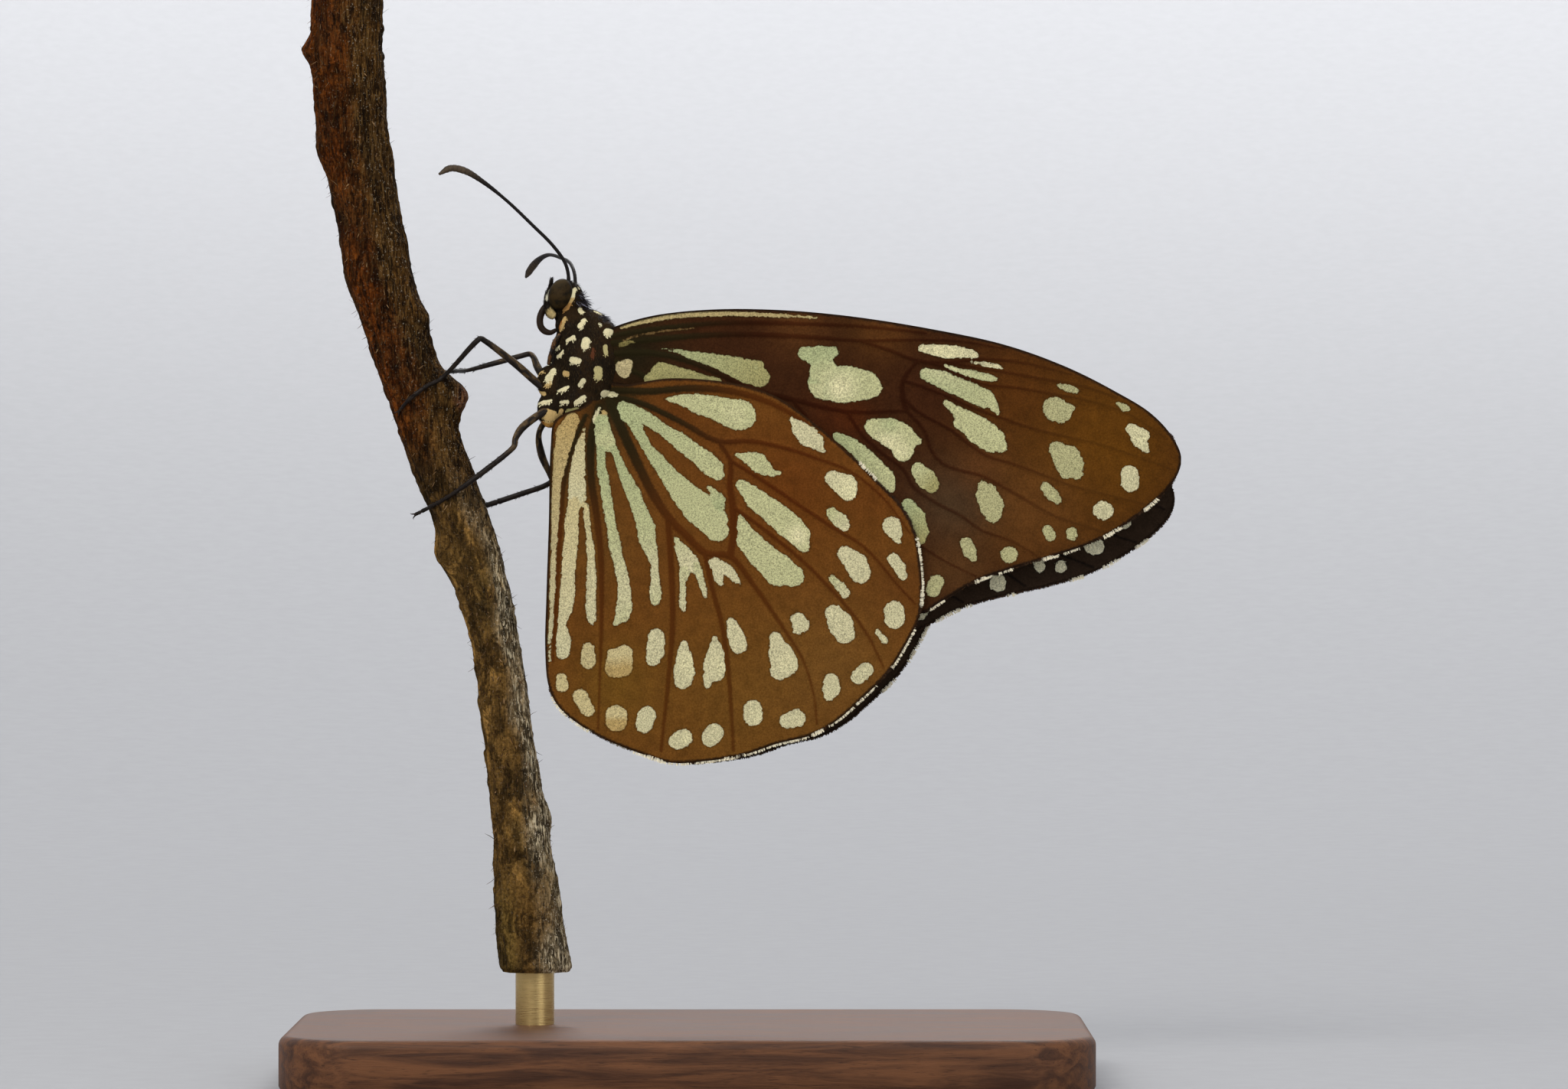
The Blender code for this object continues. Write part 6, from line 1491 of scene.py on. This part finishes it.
PALP_LINE = [
    (-11.15, 0.72, 62.95), (-11.45, 0.76, 63.2), (-11.6, 0.72, 63.8), (-11.66, 0.64, 64.4),
    (-11.56, 0.54, 65.0), (-11.42, 0.46, 65.6), (-11.36, 0.42, 66.05),
]
PALP_PATCH = [(-11.5, 65.0, 0.04), (-11.6, 64.65, 0.08), (-11.76, 64.25, 0.1)]
PALP_BASE = [(-11.39, 63.13, 0.36), (-11.3, 62.95, 0.36)]
PROBOSCIS_LINE = [
    (-11.2, 0.0, 64.0), (-11.8, 0.0, 63.75), (-12.2, 0.0, 63.2), (-12.34, 0.0, 62.6),
    (-12.24, 0.0, 62.05), (-11.9, 0.0, 61.7), (-11.45, 0.0, 61.6), (-11.0, 0.0, 61.82),
]
NEAR_ANTENNA = [
    (-9.95, -0.5, 65.4), (-9.98, -0.65, 66.4), (-10.25, -0.9, 67.35), (-11.2, -1.4, 68.7),
    (-12.9, -2.1, 70.4), (-14.9, -2.8, 72.3), (-16.85, -3.4, 73.85), (-18.35, -3.9, 74.75),
    (-19.5, -4.2, 74.95), (-20.45, -4.4, 74.45),
]
FAR_ANTENNA = [
    (-9.42, 0.5, 65.2), (-9.5, 1.3, 66.4), (-9.9, 3.0, 67.4), (-10.7, 5.6, 67.95), (-11.9, 8.6, 68.35),
    (-12.8, 10.6, 68.0), (-13.5, 12.0, 67.3), (-13.95, 13.0, 66.65),
]
FEMUR, TIBIA, TARSUS, FOOT = 0.32, 0.23, 0.17, 0.1
FOOT_CLEAR = 0.2
PALP_SCALES, LEG_SCALES, FORELEG_SCALES, LEG_SPINES = 1500, 900, 400, 64
# Length of one ring of a feeler
RING_LENGTH = 0.36
# Half widths along a tube: shares of its length, then the half width at each
FEELER_WIDTHS = ([0, .02, .05, .62, .75, .87, .95, 1], [.23, .21, .165, .15, .22, .33, .3, .11])
PALP_WIDTHS = ([0, .15, .3, .45, .62, .66, .72, .95, 1], [.33, .4, .4, .31, .27, .2, .17, .12, .06])
PROBOSCIS_WIDTHS = ([0, .1, .75, 1], [.28, .31, .29, .17])
# Rings along the coiled proboscis
PROBOSCIS_RINGS = 58
# Foot of a walking leg: its length, and where its joints are from its start
FOOT_LENGTH = 4.6
FOOT_JOINTS = np.array([0.0, 1.5, 2.5, 3.3, 4.0])
FORELEG = [
    (-10.65, 1.2, 61.4, 0.16), (-11.08, 1.34, 60.8, 0.17), (-11.3, 1.38, 60.1, 0.16),
    (-11.5, 1.36, 59.45, 0.15), (-11.58, 1.3, 58.95, 0.12),
]
# Side, then x, y, z and half width of points along each leg. A point with no y lies beside the bark.
LEGS = {
    "foreleg_left": (-1, [(x, -y, z, r) for x, y, z, r in FORELEG]),
    "foreleg_right": (1, FORELEG),
    "midleg_left": (-1, [
        (-11.4, -1.0, 56.7, FEMUR), (-12.3, -1.2, 57.25, FEMUR), (-14.2, -2.1, 58.9, FEMUR),
        (-16.7, -3.3, 60.8, 0.24), (-17.1, -3.45, 61.0, TIBIA), (-17.5, -3.5, 60.7, TIBIA),
        (-20.4, None, 57.75, TARSUS), (-21.6, None, 57.1, TARSUS), (-23.0, None, 56.0, TARSUS),
        (-23.9, None, 55.0, FOOT)]),
    "midleg_right": (1, [
        (-11.6, 1.0, 57.2, FEMUR), (-12.6, 2.0, 58.8, FEMUR), (-13.0, 2.7, 59.7, 0.24),
        (-13.3, 2.95, 59.9, TIBIA), (-14.0, 3.05, 59.75, TIBIA), (-16.2, 3.25, 59.15, TIBIA),
        (-18.3, 3.3, 58.6, TARSUS), (-19.9, None, 58.35, TARSUS), (-21.5, None, 57.9, TARSUS),
        (-23.4, None, 57.2, FOOT)]),
    "hindleg_left": (-1, [
        (-11.2, -1.1, 55.5, FEMUR), (-12.9, -1.8, 54.4, FEMUR), (-13.8, -2.35, 53.6, FEMUR),
        (-14.25, -2.75, 52.8, 0.26), (-14.35, -2.95, 52.2, 0.24), (-14.7, -3.0, 51.8, TIBIA),
        (-17.5, -3.1, 49.6, TIBIA), (-19.5, None, 48.2, TARSUS), (-21.2, None, 47.25, TARSUS),
        (-22.6, -1.2, 46.55, 0.14)]),
    "hindleg_right": (1, [
        (-11.2, 1.1, 55.2, FEMUR), (-12.45, 1.9, 53.4, 0.24), (-12.3, 2.7, 51.6, FEMUR),
        (-11.6, 3.15, 49.9, 0.24), (-11.45, 3.25, 49.4, TIBIA), (-12.0, 3.25, 49.0, TIBIA),
        (-14.0, 3.15, 48.3, TIBIA), (-16.4, 3.05, 47.5, TIBIA), (-18.4, None, 46.9, TARSUS),
        (-20.2, None, 46.2, FOOT)]),
}


def on_perch(x, z, side, clear):
    """A point beside the branch, `clear` off its bark, on the near or far side."""
    centre = perch_axis(z)[0]
    y = side * 1.0
    for _ in range(8):
        angle = math.atan2(y, x - centre)
        reach = float(perch_radius(z, np.array(angle)) + bark_relief(np.array(z), np.array(angle))) + clear
        y = side * math.sqrt(max(0.0004, reach ** 2 - (x - centre) ** 2))
    return x, y, z


def tube_places(turn, share, tris, pick, weights):
    """Where scattered points are on a tube's unrolled skin, for their OFBake patches."""
    around, along = (at_places(values, tris, pick, weights) for values in (turn, share))
    return np.stack([around / (2 * np.pi), along], axis=1)


def build_palps(rng, horn, coat):
    for side, word in ((-1, "left"), (1, "right")):
        path = curve_through([(x, y * side, z) for x, y, z in PALP_LINE], 0.05)
        run = np.linspace(0, 1, len(path))
        wide = np.interp(run, *PALP_WIDTHS)
        points, quads, tris, share, turn = sweep(path, wide, 20)
        outer = ease(-0.1, 0.3, np.cos(turn) * side)
        flat = points[:, [0, 2]]
        patch = ease(0.05, -0.03, to_segments(flat, PALP_PATCH)[0]) * outer
        uneven = 0.08 * noise(flat[:, 0] * 5, flat[:, 1] * 5, 61)
        base = ease(0.06, -0.1, to_segments(flat, PALP_BASE)[0] + uneven)
        tone = blend(srgb(24, 18, 12), srgb(176, 154, 104), base)
        tone = blend(tone, srgb(214, 208, 184), patch)
        skin = Build().add(points, quads, tris, tone=tone)
        skin.piece(f"palp_{word}_skin", horn, "body_black", (f"palp_{word}",))
        count = PALP_SCALES
        tri = split_quads(quads)
        pick, weights = scatter(rng, points, tri, count)
        place = at_places(points, tri, pick, weights)
        near = np.linalg.norm(place[:, None] - path[None], axis=2).argmin(1)
        out = unit(place - path[near])
        along = unit(np.gradient(path, axis=0))[near]
        tint = at_places(tone, tri, pick, weights) * rng.uniform(0.7, 1.3, (count, 1))
        where = tube_places(turn, share, tri, pick, weights)
        ways = along + rng.normal(0, 0.15, (count, 3))
        lengths, widths = rng.uniform(0.1, 0.24, count), rng.uniform(0.03, 0.06, count)
        blades(f"palp_{word}_scales", place - out * 0.01, ways, out, lengths, widths, tint, where, coat,
               tip=0.4, lift=rng.uniform(0.1, 0.45, count))


def build_proboscis(horn):
    path = curve_through(PROBOSCIS_LINE, 0.025)
    run = np.linspace(0, 1, len(path))
    wide = np.interp(run, *PROBOSCIS_WIDTHS) * (1 + 0.035 * np.sin(run * 2 * np.pi * PROBOSCIS_RINGS))
    sides = 24
    points, quads, tris, _, turn = sweep(path, wide, sides)
    middle = np.abs(np.sin(turn))
    groove = ease(0.35, 0.0, np.abs(np.cos(turn)))
    centre = np.repeat(path, sides, axis=0)
    points[:len(centre)] -= (points[:len(centre)] - centre) * (0.16 * groove[:len(centre), None])
    tone = blend(srgb(30, 20, 11), srgb(56, 38, 22), middle * 0.5)
    Build().add(points, quads, tris, tone=tone).piece("proboscis_skin", horn, "leg_dark", ("proboscis",))


def build_antenna(name, line, horn, side):
    path = curve_through(line, 0.05)
    steps = run_along(path)
    phase = (steps / RING_LENGTH) % 1.0
    wide = np.interp(steps / steps[-1], *FEELER_WIDTHS) * (1 - 0.1 * np.exp(-((phase - 0.5) / 0.1) ** 2))
    sides = 18
    points, quads, tris, share, turn = sweep(path, np.stack([wide, wide * 0.92], 1), sides)
    club = ease(0.72, 0.88, share)
    outside = ease(-0.2, 0.8, np.cos(turn) * side)
    tone = blend(srgb(22, 17, 15), srgb(70, 58, 44), club * (0.35 + 0.65 * outside))
    joint = np.exp(-((np.append(np.repeat(phase, sides), [0, 0]) - 0.5) / 0.08) ** 2)
    tone = blend(tone, srgb(16, 12, 10), joint * 0.5)
    Build().add(points, quads, tris, tone=tone).piece(name + "_skin", horn, "leg_dark", (name,))


def hook(points, radii):
    """A short curved tube with its radii spread evenly along it."""
    path = curve_through(points, 0.03)
    return sweep(path, np.interp(np.linspace(0, 1, len(path)), np.linspace(0, 1, len(radii)), radii), 10)


def build_leg(name, horn, coat, rng):
    side, rows = LEGS[name]
    line = []
    for x, y, z, radius in rows:
        point = on_perch(x, z, side, FOOT_CLEAR) if y is None else (x, y, z)
        line.append((*point, radius))
    fine = curve_through(line, 0.06)
    path, wide = fine[:, :3], np.maximum(fine[:, 3], 0.08)
    kernel = np.ones(9) / 9
    wide = np.convolve(np.pad(wide, 4, mode="edge"), kernel, mode="valid")
    steps = run_along(path)
    total = steps[-1]
    build = Build()
    walking = not name.startswith("foreleg")
    if walking:
        for joint in total - FOOT_LENGTH + FOOT_JOINTS:
            wide = wide * (1 - 0.22 * np.exp(-((steps - joint) / 0.07) ** 2))
            wide = wide * (1 + 0.12 * np.exp(-((steps - joint + 0.18) / 0.12) ** 2))
    points, quads, tris, share, turn = sweep(path, wide, 16)
    # Tan on the femur, stronger on one side of the leg: partly real tan scales, partly a painted highlight.
    under = ease(0.1, 0.8, np.sin(turn) * -1.0)
    tone = blend(srgb(18, 14, 12), srgb(36, 28, 22), 0.5 + 0.5 * noise(share * 30, turn, 51))
    scaled = ease(0.42, 0.3, share) * ease(-0.1, 0.5, noise(share * 26, turn * 1.2, 52) + under * 0.6)
    tone = blend(tone, srgb(112, 88, 56), scaled * 0.4)
    if not walking:
        tone = blend(tone, srgb(84, 55, 28), ease(-0.1, 0.6, noise(share * 9, turn * 0.8, 53) + 0.3))
    build.add(points, quads, tris, tone=tone)
    tangent = unit(np.gradient(path, axis=0))
    if walking:
        at = np.sort(rng.uniform(total * 0.42, total - 0.3, LEG_SPINES))
        index = np.searchsorted(steps, at).clip(1, len(steps) - 2)
        for i in index:
            way = tangent[i]
            spin = rng.uniform(0, 2 * np.pi)
            flat = unit(np.cross(way, [0.0, 1.0, 0.0]))
            out = flat * math.cos(spin) + np.cross(way, flat) * math.sin(spin)
            root = path[i] + out * wide[i] * 0.8
            tip = root + (out * 0.75 + way) * rng.uniform(0.14, 0.24)
            spine = np.array([root, (root + tip) / 2 + out * 0.01, tip])
            p, q, t, _, _ = sweep(spine, [0.03, 0.022, 0.006], 6)
            build.add(p, q, t, tone=srgb(26, 20, 16))
        end, way = path[-1], tangent[-1]
        across = unit(np.cross(way, [0.0, 1.0, 0.0]))
        for sign in (-1, 1):
            claw = [end - way * 0.1 + across * sign * 0.04, end + way * 0.14 + across * sign * 0.13,
                    end + way * 0.26 + across * sign * 0.2 - np.array([0, side * 0.08, 0]),
                    end + way * 0.28 + across * sign * 0.3 - np.array([0, side * 0.2, 0])]
            p, q, t, _, _ = hook(claw, [0.07, 0.06, 0.04, 0.012])
            build.add(p, q, t, tone=srgb(30, 20, 14))
    build.piece(name + "_skin", horn, "leg_dark", (name,))
    count = LEG_SCALES if walking else FORELEG_SCALES
    tri = split_quads(quads)
    pick, weights = scatter(rng, points, tri, count)
    place = at_places(points, tri, pick, weights)
    near = np.linalg.norm(place[:, None] - path[None, ::4], axis=2).argmin(1) * 4
    out = unit(place - path[near])
    # Pale scale tufts go where the femur's tan and painted highlight lie.
    tan_and_highlight = at_places(scaled, tri, pick, weights)
    tint = blend(srgb(22, 17, 14), srgb(136, 114, 80), (tan_and_highlight * 0.5 > rng.random(count)) * 0.8)
    where = tube_places(turn, share, tri, pick, weights)
    ways = tangent[near] + rng.normal(0, 0.12, (count, 3))
    lengths, widths = rng.uniform(0.09, 0.18, count), rng.uniform(0.03, 0.055, count)
    blades(name + "_scales", place - out * 0.008, ways, out, lengths, widths, tint, where, coat,
           tip=0.45, lift=rng.uniform(0.05, 0.22, count))


def build_limbs(rng):
    horn = horn_material("leg_horn", 0.42, 14.0, 0.012, 0.25)
    feeler = horn_material("feeler_horn", 0.5, 16.0, 0.01, 0.25)
    palp = horn_material("palp_horn", 0.6, 12.0, 0.02, 0.3)
    coat = coat_material("limb_scales", 0.5)
    build_palps(rng, palp, coat)
    build_proboscis(feeler)
    build_antenna("antenna_left", NEAR_ANTENNA, feeler, -1)
    build_antenna("antenna_right", FAR_ANTENNA, feeler, 1)
    for name in LEGS:
        build_leg(name, horn, coat, rng)


# Stand

BASE_SIZE = (66.0, 40.0, 4.5)
BASE_CORNER, BASE_BEVEL = 7.0, 0.8
ROD_RADIUS, ROD_X, ROD_SUNK = 1.6, -12.75, 0.4


def build_stand():
    length, depth, height = BASE_SIZE
    levels = [(0.0, 0.4), (0.12, 0.16), (0.4, 0.0)]
    levels += [(height - BASE_BEVEL + BASE_BEVEL * math.sin(a), BASE_BEVEL * (1 - math.cos(a)))
               for a in np.linspace(0, math.pi / 2, 9)]
    steps = 16
    rings = []
    for level, inset in levels:
        ring = []
        for quarter in range(4):
            sx, sy = (1 if quarter in (0, 3) else -1), (1 if quarter in (0, 1) else -1)
            for k in range(steps + 1):
                angle = math.pi / 2 * (quarter + k / steps)
                ring.append((sx * (length / 2 - BASE_CORNER) + (BASE_CORNER - inset) * math.cos(angle),
                             sy * (depth / 2 - BASE_CORNER) + (BASE_CORNER - inset) * math.sin(angle), level))
        rings.append(ring)
    count = len(rings[0])
    points = np.concatenate([np.array(rings).reshape(-1, 3), [[0, 0, 0.0], [0, 0, height]]])
    k = np.arange(count)
    last, middle = (len(levels) - 1) * count, len(levels) * count
    bottom = np.stack([(k + 1) % count, k, np.full(count, middle)], 1)
    faces = [ring_quads(count, len(levels) - 1), bottom, fan(last, count, middle + 1)]
    base = make_piece("stand_base_wood", points, faces, {}, wood_material(), ("stand_base",))
    base.data.set_sharp_from_angle(angle=math.radians(35))
    levels = (height - ROD_SUNK, height, height + 0.05, PERCH_FOOT + ROD_SUNK)
    points, quads, tris, _, _ = sweep([(ROD_X, 0.0, z) for z in levels], [ROD_RADIUS] * len(levels), 64)
    skin = Build().add(points, quads, tris)
    rod = skin.piece("stand_rod_brass", metal_material(), "rod_metal", ("stand_rod",))
    rod.data.set_sharp_from_angle(angle=math.radians(40))


# Studio and camera

def area_light(name, place, target, size, power, colour):
    data = bpy.data.lights.new(name, "AREA")
    data.shape = "RECTANGLE"
    data.size, data.size_y = size[0] * MM, size[1] * MM
    data.energy = power
    data.color = colour
    obj = add_object(name, data)
    obj.location = Vector(place) * MM
    obj.rotation_euler = (Vector(target) - Vector(place)).to_track_quat("-Z", "Y").to_euler()


# Round studio wall: its radius, the radius of the curve where it meets the floor, and its height
COVE_RADIUS, COVE_CURVE, COVE_HEIGHT = 2300.0, 1900.0, 2400.0
SKY_TONE, SKY_STRENGTH = (0.93, 0.95, 1.0, 1.0), 0.3
# Lights: name, place, what it faces, size, power, tone
LIGHTS = [
    ("key", (-260, -520, 420), (5, 0, 45), (320, 260), 2.75, (1.0, 0.98, 0.94)),
    ("fill", (380, -480, 160), (5, 0, 45), (360, 360), 0.7, (0.94, 0.97, 1.0)),
    ("back_fill", (120, 900, 900), (0, 0, 50), (700, 500), 8.5, (1.0, 1.0, 1.0)),
    ("ceiling", (0, 0, 2300), (0, 0, 0), (3200, 3200), 31.0, (1.0, 1.0, 1.0)),
]


def build_studio():
    turn = np.linspace(0.0, math.pi / 2, 24)
    profile = [(0.0, 0.0), (150.0, 0.0), (300.0, 0.0)]
    start = COVE_RADIUS - COVE_CURVE
    profile += [(start + COVE_CURVE * math.sin(a), COVE_CURVE * (1 - math.cos(a))) for a in turn]
    profile += [(COVE_RADIUS, COVE_HEIGHT)]
    sides = 96
    angle = np.arange(sides) * 2 * np.pi / sides
    points = np.array([(r * math.cos(a), r * math.sin(a), z) for r, z in profile[1:] for a in angle])
    points = np.concatenate([points, [(0.0, 0.0, 0.0)]]) * MM
    quads = ring_quads(sides, len(profile) - 2)[:, ::-1]
    mesh = make_mesh("backdrop", points, [quads, fan(0, sides, len(points) - 1)])
    mesh.shade_smooth()
    mesh.materials.append(stage_material())
    add_object("backdrop", mesh)
    world = bpy.data.worlds.new("studio")
    world.use_nodes = True
    sky_light = world.node_tree.nodes["Background"]
    sky_light.inputs["Color"].default_value = SKY_TONE
    sky_light.inputs["Strength"].default_value = SKY_STRENGTH
    bpy.context.scene.world = world
    for light in LIGHTS:
        area_light(*light)
    bpy.context.scene.view_settings.view_transform = "Standard"


def build_camera():
    data = bpy.data.cameras.new("camera")
    data.sensor_width = SENSOR_WIDTH
    data.lens = SENSOR_WIDTH * CAMERA_DISTANCE / FRAME_WIDTH
    data.clip_start, data.clip_end = 0.01, 20.0
    camera = add_object("camera", data)
    camera.location = Vector((FRAME_CENTRE[0], NEAR_WING_PLANE - CAMERA_DISTANCE, FRAME_CENTRE[1])) * MM
    camera.rotation_euler = (math.radians(90), 0.0, 0.0)
    bpy.context.scene.camera = camera


def main():
    build_studio()
    build_camera()
    build_stand()
    build_branch(np.random.default_rng(7))
    build_body(np.random.default_rng(11))
    build_eyes()
    build_limbs(np.random.default_rng(13))
    build_wings(np.random.default_rng(17))


main()
